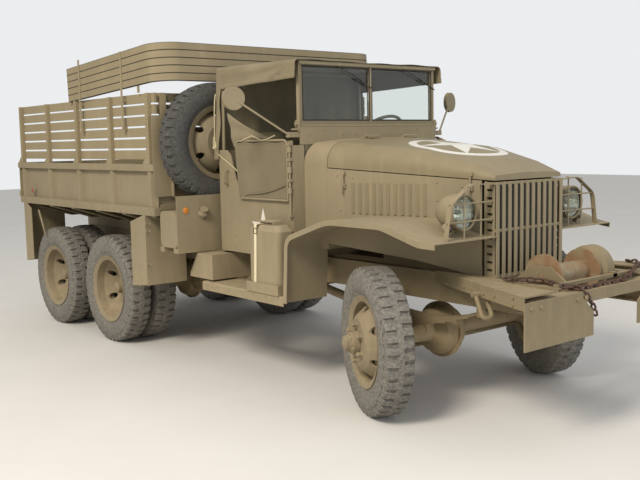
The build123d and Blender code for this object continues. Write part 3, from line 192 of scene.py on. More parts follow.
def enamel(name, deep, faded, dust, dusty=0.35, low=0.55, roughness=0.72, peel_mm=4.0, dent=0.25):
    """Matt enamel: deep and faded mixed by a wide noise, streaked by rain, and then dust by a share of
    (nearness to the ground + how far the face looks up) times a patchy noise."""
    paint = bpy.data.materials.new(name)
    paint.use_nodes = True
    tree = paint.node_tree
    face = tree.nodes["Principled BSDF"]
    spot = add(tree, "ShaderNodeTexCoord").outputs["Object"]
    wide = add(tree, "ShaderNodeTexNoise", {"Vector": spot, "Scale": 2.6, "Detail": 5.0, "Roughness": 0.62})
    blotch = add(tree, "ShaderNodeTexNoise", {"Vector": spot, "Scale": 17.0, "Detail": 6.0,
                                              "Roughness": 0.66})
    tone = add(tree, "ShaderNodeMix", {0: wide.outputs[0], 6: linear(deep), 7: linear(faded)},
               data_type="RGBA")
    # Rain draws streaks down the sides: the noise is squeezed sideways and stretched upright
    drawn = add(tree, "ShaderNodeMapping", {"Vector": spot, "Scale": (15.0, 15.0, 1.4)})
    streak = add(tree, "ShaderNodeTexNoise", {"Vector": drawn.outputs[0], "Scale": 1.0, "Detail": 3.0})
    washed = add(tree, "ShaderNodeMapRange", {"Value": streak.outputs[0], "From Min": 0.50, "From Max": 0.85,
                                              "To Max": 0.22})
    streaked = add(tree, "ShaderNodeMix", {0: washed.outputs[0], 6: tone.outputs[2], 7: linear(dust)},
                   data_type="RGBA")
    apart = add(tree, "ShaderNodeSeparateXYZ", {0: spot})
    height = add(tree, "ShaderNodeMapRange", {"Value": apart.outputs[2], "From Min": 0.25, "From Max": 1.15,
                                              "To Min": low, "To Max": 0.0})
    facing = add(tree, "ShaderNodeSeparateXYZ", {0: add(tree, "ShaderNodeNewGeometry").outputs["Normal"]})
    upward = add(tree, "ShaderNodeMapRange", {"Value": facing.outputs[2], "From Min": 0.35, "To Max": dusty})
    settled = add(tree, "ShaderNodeMath", {0: height.outputs[0], 1: upward.outputs[0]}, operation="ADD")
    patchy = add(tree, "ShaderNodeMapRange", {"Value": blotch.outputs[0], "From Min": 0.3, "From Max": 0.7,
                                              "To Min": 0.35, "To Max": 1.15})
    share = add(tree, "ShaderNodeMath", {0: settled.outputs[0], 1: patchy.outputs[0]}, operation="MULTIPLY",
                use_clamp=True)
    dusted = add(tree, "ShaderNodeMix", {0: share.outputs[0], 6: streaked.outputs[2], 7: linear(dust)},
                 data_type="RGBA")
    tree.links.new(dusted.outputs[2], face.inputs["Base Color"])
    gloss = add(tree, "ShaderNodeMapRange", {"Value": blotch.outputs[0], "To Min": roughness - 0.1,
                                             "To Max": roughness + 0.12})
    tree.links.new(gloss.outputs[0], face.inputs["Roughness"])
    face.inputs["Specular IOR Level"].default_value = 0.35
    peel = add(tree, "ShaderNodeTexNoise", {"Vector": spot, "Scale": 1 / (peel_mm * MM), "Detail": 2.0})
    panel = add(tree, "ShaderNodeTexNoise", {"Vector": spot, "Scale": 4.5, "Detail": 1.5})
    soft = add(tree, "ShaderNodeBump", {"Height": panel.outputs[0], "Strength": dent, "Distance": 0.012})
    fine = add(tree, "ShaderNodeBump", {"Height": peel.outputs[0], "Strength": 0.16, "Distance": 0.0006,
                                        "Normal": soft.outputs[0]})
    tree.links.new(fine.outputs[0], face.inputs["Normal"])
    return paint


OLIVE, FADED, DUST = "#7B7058", "#90846A", "#AC9B7C"
body_enamel = enamel("matt_olive_enamel_on_sheet_steel", OLIVE, FADED, DUST)
hood_enamel = enamel("sun_bleached_olive_enamel", "#74694F", "#887C61", "#A39678", dusty=0.2, roughness=0.5)
frame_enamel = enamel("olive_enamel_on_rolled_steel", "#6A5F47", "#7F7257", "#A08F70", dusty=0.5, low=0.5,
                      dent=0.1)
casting_enamel = enamel("olive_enamel_on_sand_cast_iron", "#75684C", "#8B7C5F", "#AE9A78", dusty=0.4,
                        low=0.55, peel_mm=7.0, dent=0.35)
wheel_enamel = enamel("dusty_olive_enamel_on_pressed_wheels", "#6C624C", "#80745C", "#A09073", dusty=0.35,
                      low=0.6)
slat_enamel = enamel("olive_enamel_on_ash_slats", "#80745A", "#95886C", "#AC9C7E", dusty=0.2, roughness=0.8)
bow_enamel = enamel("olive_enamel_on_stacked_ash_bows", "#7C7158", "#91856A", "#AC9C7E", dusty=0.2,
                    roughness=0.8)
BOW_PITCH, BOW_TILT, BOW_FOOT = 58.0, 3.2, (-3640, 0, 2081)


def paint_gap_shade(paint, half_line, colour):
    """Painted shade: a dark line stands for the shaded gap where bows meet. It lies where the height up the
    tilted stack, folded at half a pitch, is below half_line."""
    tree = paint.node_tree
    face = tree.nodes["Principled BSDF"]
    under = face.inputs["Base Color"].links[0].from_socket
    spot = add(tree, "ShaderNodeTexCoord").outputs["Object"]
    lean = np.radians(BOW_TILT)
    up_stack = (-float(np.sin(lean)), 0, float(np.cos(lean)))
    away = add(tree, "ShaderNodeVectorMath", {0: spot, 1: place(BOW_FOOT).tolist()}, operation="SUBTRACT")
    up = add(tree, "ShaderNodeVectorMath", {0: away.outputs[0], 1: up_stack}, operation="DOT_PRODUCT")
    near = add(tree, "ShaderNodeMath", {0: up.outputs["Value"], 1: BOW_PITCH / 2 * MM}, operation="PINGPONG")
    line = add(tree, "ShaderNodeMath", {0: near.outputs[0], 1: half_line * MM}, operation="LESS_THAN")
    tone = add(tree, "ShaderNodeMix", {0: line.outputs[0], 6: under, 7: linear(colour)}, data_type="RGBA")
    tree.links.new(tone.outputs[2], face.inputs["Base Color"])


# Dark lines of painted shade stand for the gaps between the stacked bows
paint_gap_shade(bow_enamel, 4.2, "#39342A")
print("enamels ready")

# %% [markdown]
# Tyre rubber is natural rubber filled with carbon black. On a truck that stands outdoors it is never black:
# it greys as wax and dust come to its surface, and pale dirt stays on the lug faces. The slots stay darker.

# %% Rubber
def rubber(name, dark, grey, dust, dusty):
    """Weathered rubber: dark and grey mixed by a noise, then dust by a finer, patchy noise."""
    compound = bpy.data.materials.new(name)
    compound.use_nodes = True
    tree = compound.node_tree
    face = tree.nodes["Principled BSDF"]
    spot = add(tree, "ShaderNodeTexCoord").outputs["Object"]
    bloom = add(tree, "ShaderNodeTexNoise", {"Vector": spot, "Scale": 9.0, "Detail": 6.0, "Roughness": 0.6})
    grit = add(tree, "ShaderNodeTexNoise", {"Vector": spot, "Scale": 60.0, "Detail": 5.0, "Roughness": 0.7})
    tone = add(tree, "ShaderNodeMix", {0: bloom.outputs[0], 6: linear(dark), 7: linear(grey)},
               data_type="RGBA")
    share = add(tree, "ShaderNodeMapRange", {"Value": grit.outputs[0], "From Min": 0.42, "From Max": 0.7,
                                             "To Max": dusty})
    dusted = add(tree, "ShaderNodeMix", {0: share.outputs[0], 6: tone.outputs[2], 7: linear(dust)},
                 data_type="RGBA")
    tree.links.new(dusted.outputs[2], face.inputs["Base Color"])
    face.inputs["Roughness"].default_value = 0.82
    face.inputs["Specular IOR Level"].default_value = 0.3
    rough = add(tree, "ShaderNodeBump", {"Height": grit.outputs[0], "Strength": 0.35, "Distance": 0.0012})
    tree.links.new(rough.outputs[0], face.inputs["Normal"])
    return compound


tyre_rubber = rubber("weathered_tyre_rubber", "#55534E", "#706D66", "#999387", 0.7)
# The spare's rubber is the tyres' compound made darker and bluer: painted shade for the spare behind the cab
spare_rubber_with_painted_shade = rubber("spare_rubber_darkened_by_painted_shade", "#3A3B3B", "#4B4B49", "#77726A", 0.4)


# %% [markdown]
# Most pieces below are one idea: a shape is a function of two parameters, worked out as a whole grid of
# points, and neighbouring points become four-sided faces. Where a direction closes on itself, as round a
# tyre, the last column joins the first.

# %% A grid of points becomes a piece
def piece_from(name, verts, faces, finish, smooth=False):
    """Make a mesh object from point and face arrays, with its normals turned outwards by the caller."""
    mesh = bpy.data.meshes.new(name)
    mesh.from_pydata(np.asarray(verts).tolist(), [], [tuple(face) for face in np.asarray(faces).tolist()])
    mesh.materials.append(finish)
    if smooth:
        mesh.polygons.foreach_set("use_smooth", np.ones(len(mesh.polygons), bool))
    obj = bpy.data.objects.new(name, mesh)
    bpy.context.collection.objects.link(obj)
    return obj


def grid_faces(rows, columns, close_rows=False, close_columns=False):
    """Indices of the quads (i, j), (i+1, j), (i+1, j+1), (i, j+1) on a rows x columns grid."""
    i = np.arange(rows if close_rows else rows - 1)
    j = np.arange(columns if close_columns else columns - 1)
    i, j = np.meshgrid(i, j, indexing="ij")
    below, right = (i + 1) % rows, (j + 1) % columns
    return np.stack([i * columns + j, below * columns + j, below * columns + right, i * columns + right],
                    axis=-1).reshape(-1, 4)


def smoothstep(low, high, value):
    """0 below low, 1 above high, and t * t * (3 - 2 t) between."""
    t = np.clip((value - low) / (high - low), 0, 1)
    return t * t * (3 - 2 * t)


# %% [markdown]
# The tyres carry the army's non-directional tread: slots cut in from both shoulders, round at their inner
# ends, leave a solid band round the middle, and the two rows are staggered by half a slot. The form is a
# profile turned about the axle. Its radius drops by the slot depth inside a slot, and the columns of the
# grid stand exactly at the slot edges, so the walls stay crisp with few faces.

# %% Tyres
SLOTS, SLOT_DEPTH, SLOT_SHARE, WALL_SHARE = 40, 15.0, 0.20, 0.035
# Distance from the tyre's middle, radius, share of the slot depth
TREAD_PROFILE = np.array([
    (0, 462, 0), (8, 462, 0), (16, 461.8, 0), (20, 461.7, 0.55), (24, 461.5, 0.9), (30, 461.2, 1),
    (50, 459.8, 1), (68, 457.5, 1), (79, 455, 1), (83, 451, 1), (87, 440, 0.9), (90, 428, 0.75),
    (92.5, 418, 0.5), (96, 414, 0), (99, 402, 0), (101.6, 386, 0), (102.4, 370, 0), (101.8, 352, 0),
    (99.5, 336, 0), (96, 323, 0), (92, 314, 0), (88, 309, 0), (84.5, 299, 0), (80.4, 288.8, 0),
    (74, 272, 0), (66.7, 254.8, 0)])
AXLE_HEIGHT, PARKED_STEER, KINGPIN_Y = 462.0, -24.0, 690.5


def tyre_points(middle):
    """Points (x, y, z) = (r cos a, middle +- w, r sin a), with r = profile radius - depth * slot(a)."""
    slot_end, land_end = SLOT_SHARE - WALL_SHARE, 0.5 - SLOT_SHARE
    edges = np.array([0, slot_end, SLOT_SHARE, land_end, land_end + WALL_SHARE, 0.5])
    half = np.concatenate([edges, 1 - edges[-2:0:-1]])
    turn = (np.arange(SLOTS)[:, None] + half[None, :]).ravel()
    angle = turn * 2 * np.pi / SLOTS
    sides = []
    for side, shift in ((-1, 0.0), (1, 0.5)):
        from_slot = np.abs((turn - shift + 0.5) % 1 - 0.5)
        inside = smoothstep(SLOT_SHARE, slot_end, from_slot)
        along, radius, share = TREAD_PROFILE.T
        r = radius[:, None] - SLOT_DEPTH * share[:, None] * inside[None, :]
        w = np.broadcast_to(side * along[:, None], r.shape)
        points = np.stack([r * np.cos(angle), middle + w, r * np.sin(angle)], axis=-1)
        sides.append(points[::-1] if side < 0 else points[1:])
    return np.concatenate(sides)


def steer(points, side):
    """Turn points about the right (-1) or left (1) kingpin to the parked steering angle."""
    angle, pivot = np.radians(PARKED_STEER), np.array([0, side * KINGPIN_Y, 0])
    turn = np.array([[np.cos(angle), -np.sin(angle), 0], [np.sin(angle), np.cos(angle), 0], [0, 0, 1]])
    return (np.asarray(points) - pivot) @ turn.T + pivot


def make_tyres(name, middles, axle_x, body, node, side=None):
    """Tyres on one hub, as one piece that stands for the plain solid tyres."""
    verts, faces, count = [], [], 0
    for middle in middles:
        points = tyre_points(middle)
        rows, columns = points.shape[:2]
        points = points.reshape(-1, 3) + [axle_x, 0, AXLE_HEIGHT]
        verts.append(steer(points, side) if side else points)
        faces.append(grid_faces(rows, columns, close_columns=True)[:, ::-1] + count)
        count += rows * columns
    tyres = piece_from(name, place(np.concatenate(verts)), np.concatenate(faces), tyre_rubber)
    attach(tyres, body)
    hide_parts(node)
    return tyres


FRONT_TRACK, TWIN_MIDDLE, TWIN_HALF, MIDDLE_X, REAR_X = 790.5, 860.0, 120.0, -3124.0, -4242.0
for word, side in (("right", -1), ("left", 1)):
    make_tyres(f"front_{word}_tread", [side * FRONT_TRACK], 0, f"front_{word}_wheel", f"front_{word}_tyre",
               side)
    for axle, x in (("middle", MIDDLE_X), ("rear", REAR_X)):
        pair = [side * (TWIN_MIDDLE - TWIN_HALF), side * (TWIN_MIDDLE + TWIN_HALF)]
        make_tyres(f"{axle}_{word}_treads", pair, x, f"{axle}_{word}_wheels", f"{axle}_{word}_tyres")
print("tyres fitted")

# %% [markdown]
# The spare tyre stands upright behind the cab, its wheel's dish forward, so the same tyre is drawn about
# its own axle, turned a quarter about Z and set on the carrier.

# %% Spare tyre
SPARE_MM = (-2012.0, -640.0, 1700.0)
round_spare = tyre_points(0)
spare = round_spare.reshape(-1, 3)[:, [1, 0, 2]] * [1, -1, 1] + SPARE_MM
spare_faces = grid_faces(*round_spare.shape[:2], close_columns=True)[:, ::-1]
spare_tread = piece_from("spare_tread", place(spare), spare_faces, spare_rubber_with_painted_shade)
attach(spare_tread, "chassis")
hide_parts("spare_tyre")
print("spare tyre set on its carrier")

# %% [markdown]
# Cotton duck is a plain weave of two-ply yarns, proofed with wax and pigment. From a few steps away it is
# a matt, slightly mottled surface with a fine grid, lighter where it has been folded and rubbed.

# %% Canvas
def duck(name, deep, faded, dust, yarn_mm=2.2):
    """Plain weave: sine bands across each axis add up to raised crossings; colour mixes by a wide noise."""
    cloth = bpy.data.materials.new(name)
    cloth.use_nodes = True
    tree = cloth.node_tree
    face = tree.nodes["Principled BSDF"]
    spot = add(tree, "ShaderNodeTexCoord").outputs["Object"]
    wide = add(tree, "ShaderNodeTexNoise", {"Vector": spot, "Scale": 5.0, "Detail": 7.0, "Roughness": 0.65})
    tone = add(tree, "ShaderNodeMix", {0: wide.outputs[0], 6: linear(deep), 7: linear(faded)},
               data_type="RGBA")
    stain = add(tree, "ShaderNodeTexNoise", {"Vector": spot, "Scale": 1.7, "Detail": 4.0})
    share = add(tree, "ShaderNodeMapRange", {"Value": stain.outputs[0], "From Min": 0.45, "From Max": 0.8,
                                             "To Max": 0.5})
    dusted = add(tree, "ShaderNodeMix", {0: share.outputs[0], 6: tone.outputs[2], 7: linear(dust)},
                 data_type="RGBA")
    tree.links.new(dusted.outputs[2], face.inputs["Base Color"])
    face.inputs["Roughness"].default_value = 0.92
    face.inputs["Specular IOR Level"].default_value = 0.2
    face.inputs["Sheen Weight"].default_value = 0.12
    # Real yarns lie 0.6 mm apart, too fine for the picture, so these are drawn coarser
    bands = [add(tree, "ShaderNodeTexWave", {"Vector": spot, "Scale": np.pi / (yarn_mm * MM) / 20,
                                             "Distortion": 0.6}, bands_direction=way) for way in "XYZ"]
    crossed = add(tree, "ShaderNodeMath", {0: bands[0].outputs["Fac"], 1: bands[1].outputs["Fac"]},
                  operation="ADD")
    weave = add(tree, "ShaderNodeMath", {0: crossed.outputs[0], 1: bands[2].outputs["Fac"]}, operation="ADD")
    crumple = add(tree, "ShaderNodeTexNoise", {"Vector": spot, "Scale": 12.0, "Detail": 4.0})
    soft = add(tree, "ShaderNodeBump", {"Height": crumple.outputs[0], "Strength": 0.45, "Distance": 0.008})
    fine = add(tree, "ShaderNodeBump", {"Height": weave.outputs[0], "Strength": 0.25, "Distance": 0.0005,
                                        "Normal": soft.outputs[0]})
    tree.links.new(fine.outputs[0], face.inputs["Normal"])
    return cloth


top_duck = duck("waxed_cotton_duck_of_the_top", "#6C634C", "#83785F", "#988C74")
# The doors' duck is the top's cloth in darker tones: painted shade on the door canvas
door_duck_with_painted_shade = duck("waxed_cotton_duck_of_the_doors_with_painted_shade", "#665D49", "#786E57", "#8C826A")
seat_duck = duck("cotton_duck_seat_covers", "#5D563F", "#70684C", "#857B60")

# %% [markdown]
# The windshield is flat laminated glass, faintly green at this thickness. Headlamp lenses are pressed
# glass. The mirrors are silvered glass, and bare steel shows on the drum, the hook and the chain, where
# rope and links rub the paint away and rust takes its place.

# %% Glass and steel
def plain(name, colour, **values):
    """A finish whose values are the same all over, set straight on the shader's sockets."""
    made = bpy.data.materials.new(name)
    made.use_nodes = True
    face = made.node_tree.nodes["Principled BSDF"]
    face.inputs["Base Color"].default_value = linear(colour)
    for key, value in values.items():
        face.inputs[key.replace("_", " ")].default_value = value
    return made


def rusty(name, bare, rust, roughness=0.6, metallic=0.6, spots=14.0):
    """Steel that shows rust where a mottled noise is high: colour and metallic follow one mask."""
    steel = bpy.data.materials.new(name)
    steel.use_nodes = True
    tree = steel.node_tree
    face = tree.nodes["Principled BSDF"]
    spot = add(tree, "ShaderNodeTexCoord").outputs["Object"]
    patch = add(tree, "ShaderNodeTexNoise", {"Vector": spot, "Scale": spots, "Detail": 8.0, "Roughness": 0.7})
    mask = add(tree, "ShaderNodeMapRange", {"Value": patch.outputs[0], "From Min": 0.38, "From Max": 0.58})
    tone = add(tree, "ShaderNodeMix", {0: mask.outputs[0], 6: linear(bare), 7: linear(rust)},
               data_type="RGBA")
    metal = add(tree, "ShaderNodeMapRange", {"Value": mask.outputs[0], "To Min": metallic, "To Max": 0.0})
    tree.links.new(tone.outputs[2], face.inputs["Base Color"])
    tree.links.new(metal.outputs[0], face.inputs["Metallic"])
    face.inputs["Roughness"].default_value = roughness
    pits = add(tree, "ShaderNodeBump", {"Height": patch.outputs[0], "Strength": 0.4, "Distance": 0.001})
    tree.links.new(pits.outputs[0], face.inputs["Normal"])
    return steel


def smoky(name, deep, light, roughness=0.2):
    """A glossy surface whose colour and roughness drift a little, as dust and grease leave it."""
    made = bpy.data.materials.new(name)
    made.use_nodes = True
    tree = made.node_tree
    face = tree.nodes["Principled BSDF"]
    spot = add(tree, "ShaderNodeTexCoord").outputs["Object"]
    film = add(tree, "ShaderNodeTexNoise", {"Vector": spot, "Scale": 60.0, "Detail": 4.0})
    tone = add(tree, "ShaderNodeMix", {0: film.outputs[0], 6: linear(deep), 7: linear(light)},
               data_type="RGBA")
    gloss = add(tree, "ShaderNodeMapRange", {"Value": film.outputs[0], "To Min": roughness * 0.6,
                                             "To Max": roughness * 1.5})
    tree.links.new(tone.outputs[2], face.inputs["Base Color"])
    tree.links.new(gloss.outputs[0], face.inputs["Roughness"])
    return made


window_glass = plain("laminated_window_glass", "#E9F0EC", Roughness=0.02, IOR=1.52, Transmission_Weight=1.0)
drum_steel = rusty("rusted_winch_steel", "#8F8468", "#7C5F41", metallic=0.25, spots=7.0)
hook_steel = rusty("forged_hook_steel", "#6E6656", "#6B5138")
print("canvas, glass and steel ready")

# %% [markdown]
# Every node of the model that stays in view gets the finish of the real piece it stands for.

# %% Finishes on the solid pieces
finishes = {
    body_enamel: ["cab_shell", "cab_floor", "cowl", "windshield_frame", "cargo_walls", "cargo_bed",
                  "tailgate", "front_fenders", "hood_sides", "headlamps", "brush_guard", "fuel_can",
                  "fuel_tank", "mirrors", "mudguards", "spare_carrier", "tool_box", "bed_bearers",
                  "right_door_frame", "left_door_frame", "steering_wheel", "steering_column",
                  "running_boards"],
    hood_enamel: ["hood"],
    frame_enamel: ["frame", "front_bumper", "springs", "drive_shafts", "winch_frame"],
    casting_enamel: ["axles", "right_knuckle", "left_knuckle", "power_unit", "tie_rod"],
    wheel_enamel: ["front_right_wheel", "front_left_wheel", "middle_right_wheels", "middle_left_wheels",
                   "rear_right_wheels", "rear_left_wheels", "spare_wheel"],
    slat_enamel: ["racks"],
    bow_enamel: ["canvas_bows"],
    window_glass: ["glass"],
    top_duck: ["canvas_top"],
    door_duck_with_painted_shade: ["right_door_canvas", "left_door_canvas"],
    seat_duck: ["seat_cushions"],
    drum_steel: ["winch_drum"],
    hook_steel: ["pintle_hook"],
}
for finish, names in finishes.items():
    for name in names:
        mesh = nodes[name].data
        mesh.materials.clear()
        mesh.materials.append(finish)
print("finished", sum(len(names) for names in finishes.values()), "nodes")

# %% [markdown]
# Army trucks are held together by visible bolts. A bolt head, a rivet and a wheel nut are the same form: a
# short turned outline with few sides. One function draws a whole family of them at once, because every head
# is the same little outline, carried to its own place and turned to its own surface.

# %% Heads, tubes and blocks
def fit(piece, body):
    """Let a new piece ride on a body."""
    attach(piece, body)
    return piece


def unit(vectors):
    """Vectors divided by their own lengths."""
    vectors = np.asarray(vectors, float)
    return vectors / np.linalg.norm(vectors, axis=-1, keepdims=True)


def across(outward):
    """Two unit vectors square to each outward vector: the first is level unless outward is upright."""
    outward = unit(outward)
    guide = np.where(np.abs(outward[..., 2:3]) > 0.9, [1.0, 0.0, 0.0], [0.0, 0.0, 1.0])
    first = unit(np.cross(guide, outward))
    return first, np.cross(outward, first)


def turned(outline, centres, outward, sides):
    """Turn an outline of (height, radius) rows about each outward axis: point = centre + height * outward
    + radius * (cos a * first + sin a * second). First and last rows lie on the axis, or meet in a ring."""
    centres, outward = np.atleast_2d(centres), np.atleast_2d(outward)
    outward = np.broadcast_to(unit(outward), centres.shape)
    first, second = across(outward)
    angle = np.arange(sides) * 2 * np.pi / sides
    height, radius = np.asarray(outline, float).T
    ring = (first[:, None, :] * np.cos(angle)[None, :, None]
            + second[:, None, :] * np.sin(angle)[None, :, None])
    points = (centres[:, None, None, :] + height[None, :, None, None] * outward[:, None, None, :]
              + radius[None, :, None, None] * ring[:, None, :, :])
    rows = len(height)
    faces = grid_faces(rows, sides, close_columns=True)[:, ::-1]
    faces = faces[None] + (np.arange(len(centres)) * rows * sides)[:, None, None]
    return points.reshape(-1, 3), faces.reshape(-1, 4)


def merged(piece, distance=0.00002):
    """Merge points that lie together, so that poles and seams close, and face every side outwards."""
    mesh = bmesh.new()
    mesh.from_mesh(piece.data)
    bmesh.ops.remove_doubles(mesh, verts=mesh.verts, dist=distance)
    bmesh.ops.recalc_face_normals(mesh, faces=mesh.faces)
    mesh.to_mesh(piece.data)
    mesh.free()
    return piece


def heads(name, centres, outward, radius, rise, finish, sides=6, crown=1.0):
    """Bolt heads: a prism of the given sides that rises from the surface, with a chamfered or domed top."""
    outline = [(-1.0, 0), (-1.0, radius), (0.7 * rise, radius), (rise, 0.8 * radius), (rise * crown, 0)]
    points, faces = turned(outline, centres, outward, sides)
    return fit(merged(piece_from(name, place(points), faces, finish)), "chassis")


def tube(name, path, radius, finish, body="chassis", sides=8):
    """Round bar: each point of the path carries a ring square to the path's direction there."""
    path = np.asarray(path, float)
    along = unit(np.gradient(path, axis=0))
    first, second = across(along)
    angle = np.arange(sides) * 2 * np.pi / sides
    reach = np.broadcast_to(radius, (len(path),))[:, None, None]
    rings = path[:, None, :] + reach * (first[:, None, :] * np.cos(angle)[None, :, None]
                                        + second[:, None, :] * np.sin(angle)[None, :, None])
    ends = [np.repeat(path[i][None, None], sides, axis=1) for i in (0, -1)]
    points = np.concatenate([ends[0], rings, ends[1]])
    faces = grid_faces(len(points), sides, close_columns=True)
    piece = piece_from(name, place(points.reshape(-1, 3)), faces, finish, smooth=True)
    return fit(merged(piece), body)


def curve_through(points, steps=8):
    """Smooth path through points: each span is the cubic that Catmull and Rom give, sampled steps times."""
    p = np.asarray(points, float)
    p = np.concatenate([[2 * p[0] - p[1]], p, [2 * p[-1] - p[-2]]])
    t = np.arange(steps)[None, :, None] / steps
    a, b, c, d = p[:-3, None], p[1:-2, None], p[2:-1, None], p[3:, None]
    span = 0.5 * (2 * b + (c - a) * t + (2 * a - 5 * b + 4 * c - d) * t ** 2
                  + (3 * b - a - 3 * c + d) * t ** 3)
    return np.concatenate([span.reshape(-1, 3), p[-2:-1]])


CORNERS = np.array([(x, y, z) for x in (-1, 1) for y in (-1, 1) for z in (-1, 1)], float)
SIDES = np.array([(0, 1, 3, 2), (4, 6, 7, 5), (0, 4, 5, 1), (2, 3, 7, 6), (0, 2, 6, 4), (1, 5, 7, 3)])


def blocks(name, centres, halves, finish, edge=1.5):
    """Blocks with worn edges: corner = centre +- half lengths, then a small bevel of edge mm."""
    centres = np.atleast_2d(centres)
    halves = np.broadcast_to(halves, centres.shape)
    corners = CORNERS[None] * halves[:, None, :]
    points = (centres[:, None, :] + corners).reshape(-1, 3)
    faces = (SIDES[None] + 8 * np.arange(len(centres))[:, None, None]).reshape(-1, 4)
    piece = piece_from(name, place(points), faces, finish)
    if edge:
        bevel = piece.modifiers.new("worn_edges", "BEVEL")
        bevel.width, bevel.segments, bevel.limit_method = edge * MM, 2, "ANGLE"
    return fit(merged(piece), "chassis")


def ring_of(count, radius, start=0.0):
    """Offsets (cos a, sin a) * radius at equal turns."""
    angle = start + np.arange(count) * 2 * np.pi / count
    return np.stack([np.cos(angle), np.sin(angle)], axis=-1) * radius


print("helpers ready")

# %% [markdown]
# The front hubs carry a ring of cap screws round the drive flange and large wheel nuts on the disc. The
# rear hubs stand deep inside the dished outer wheels, with their axle-shaft flange on the nose.

# %% Wheel nuts and hub screws
DISH, HUB_NOSE, TWIN_NUT_OUT, TWIN_NOSE = 120.0, 76.0, 8.0, 122.0


def wheel_hardware(name, face, side, axle_x, body, nut_out, nose, steered_side=None):
    """Six wheel nuts on a 222 mm circle, and a hub cap with ten screws, all turned outwards."""
    out = np.array([0, side, 0.0])
    nuts = ring_of(6, 111.0, np.pi / 6)
    at = np.stack([nuts[:, 0], np.full(6, face + side * nut_out), nuts[:, 1]], axis=-1)
    pieces = [turned([(-1, 0), (-1, 22), (3, 22), (7, 17), (30, 17), (36, 12), (38, 0)], at, out, 6)]
    screws = ring_of(10, 56.0)
    at = np.stack([screws[:, 0], np.full(10, face + side * nose * 0.55), screws[:, 1]], axis=-1)
    pieces.append(turned([(-6, 0), (-6, 8.5), (12, 8.5), (14, 6), (14, 0)], at, out, 6))
    cap = [(-4, 0), (-4, 46), (4, 46), (9, 42), (12, 33), (12, 20), (16, 16), (16, 0)]
    pieces.append(turned(cap, [[0, face + side * nose, 0]], out, 28))
    verts, faces, count = [], [], 0
    for points, quads in pieces:
        verts.append(points + [axle_x, 0, AXLE_HEIGHT])
        faces.append(quads + count)
        count += len(points)
    points = np.concatenate(verts)
    points = steer(points, steered_side) if steered_side else points
    piece = piece_from(name, place(points), np.concatenate(faces), wheel_enamel)
    return fit(merged(piece), body)


for word, side in (("right", -1), ("left", 1)):
    wheel_hardware(f"front_{word}_nuts", side * (FRONT_TRACK + DISH), side, 0, f"front_{word}_wheel", 0.0,
                   HUB_NOSE, side)
    for axle, x in (("middle", MIDDLE_X), ("rear", REAR_X)):
        wheel_hardware(f"{axle}_{word}_nuts", side * TWIN_MIDDLE, side, x, f"{axle}_{word}_wheels",
                       TWIN_NUT_OUT, TWIN_NOSE)
holes = np.insert(ring_of(6, 96.0, 0.3), 0, DISH, axis=1) + SPARE_MM
heads("spare_wheel_nuts", holes[::2], [1, 0, 0], 17, 26, wheel_enamel)
print("wheel nuts fitted")

# %% [markdown]
# The cab top is one piece of proofed duck. It is laced to the windshield's head rail, laid over a hoop
# behind the seats, left to hang a hand's breadth over the sides, and goes down behind the seats as a curtain.
# Its plan is a rounded rectangle open at the front, and every point of that outline carries one section: a
# round shoulder, then a fall to the hem. The flat of the top fills the inside, and the curtain continues the
# rear of the skirt. Slack cloth folds fan out from where it is held, so each fold is a sine of the angle
# about the front corner that grows with the distance from it.

# %% Canvas top
TOP_FRONT, TOP_REAR, TOP_HALF, SHOULDER = -880.0, -1872.0, 718.0, 34.0
CURTAIN_FRONT, CURTAIN_HEM, FLAP_HEM = -1790.0, 1568.0, (2122.0, 2094.0)
TOP_LEAN, HEAD_RAIL_TOP, HOOP_RISE, TOP_SLACK = 0.0526, 2248, 15, 12
SIDE_POINTS, REAR_POINTS = 63, 72


def top_height(x, y):
    """Height = straight line from head rail to hoop, less TOP_SLACK in the middle of the span."""
    along = np.clip((TOP_FRONT - x) / (TOP_FRONT - TOP_REAR), 0, 1)
    sag = np.sin(np.pi * along) * np.cos(np.pi * y / (2 * TOP_HALF)) ** 2
    return HEAD_RAIL_TOP + HOOP_RISE * along - TOP_SLACK * sag


def fold(x, y, z):
    """Folds in mm: rays about the front corner, slow swells, and upright folds in the curtain behind."""
    back, down = TOP_FRONT - x, 2240 - z
    far, angle = np.hypot(back, down), np.arctan2(down, back + 1e-6)
    rays = 9.0 * smoothstep(40, 420, far) * np.sin(21 * angle + 0.4 + 0.002 * back) * smoothstep(0, 60, down)
    swell = 4.5 * np.sin(x * 0.0117 + y * 0.0063) * np.sin(y * 0.0131 - x * 0.0049 + 1.1)
    behind = smoothstep(CURTAIN_FRONT + 30, TOP_REAR + 20, x)
    hang = 8.0 * (np.sin(y * 0.027 + x * 0.05 + 0.4) + 0.6 * np.sin(y * 0.049 + z * 0.004 + 1.3))
    return rays * (1 - behind) + swell + hang * behind * smoothstep(2200, 1850, z)


def top_outline():
    """Shoulder line and its outward normals: right side, rear corner, rear, rear corner, left side."""
    inner, turn = TOP_HALF - SHOULDER, np.linspace(0, np.pi / 2, 8)
    along = np.linspace(TOP_FRONT, CURTAIN_FRONT + 8, SIDE_POINTS - 1)
    x = np.concatenate([along, [CURTAIN_FRONT], np.full(8, TOP_REAR + SHOULDER)])
    y = np.full(len(x), -inner)
    nx = np.concatenate([np.zeros(SIDE_POINTS), -np.sin(turn)])
    ny = np.concatenate([np.full(SIDE_POINTS, -1.0), -np.cos(turn)])
    rear = np.linspace(-inner, inner, REAR_POINTS)[1:-1]
    back, none = np.full(len(rear), TOP_REAR + SHOULDER), np.zeros(len(rear))
    return (np.concatenate([x, back, x[::-1]]), np.concatenate([y, rear, -y[::-1]]),
            np.concatenate([nx, none - 1, nx[::-1]]), np.concatenate([ny, none, -ny[::-1]]))


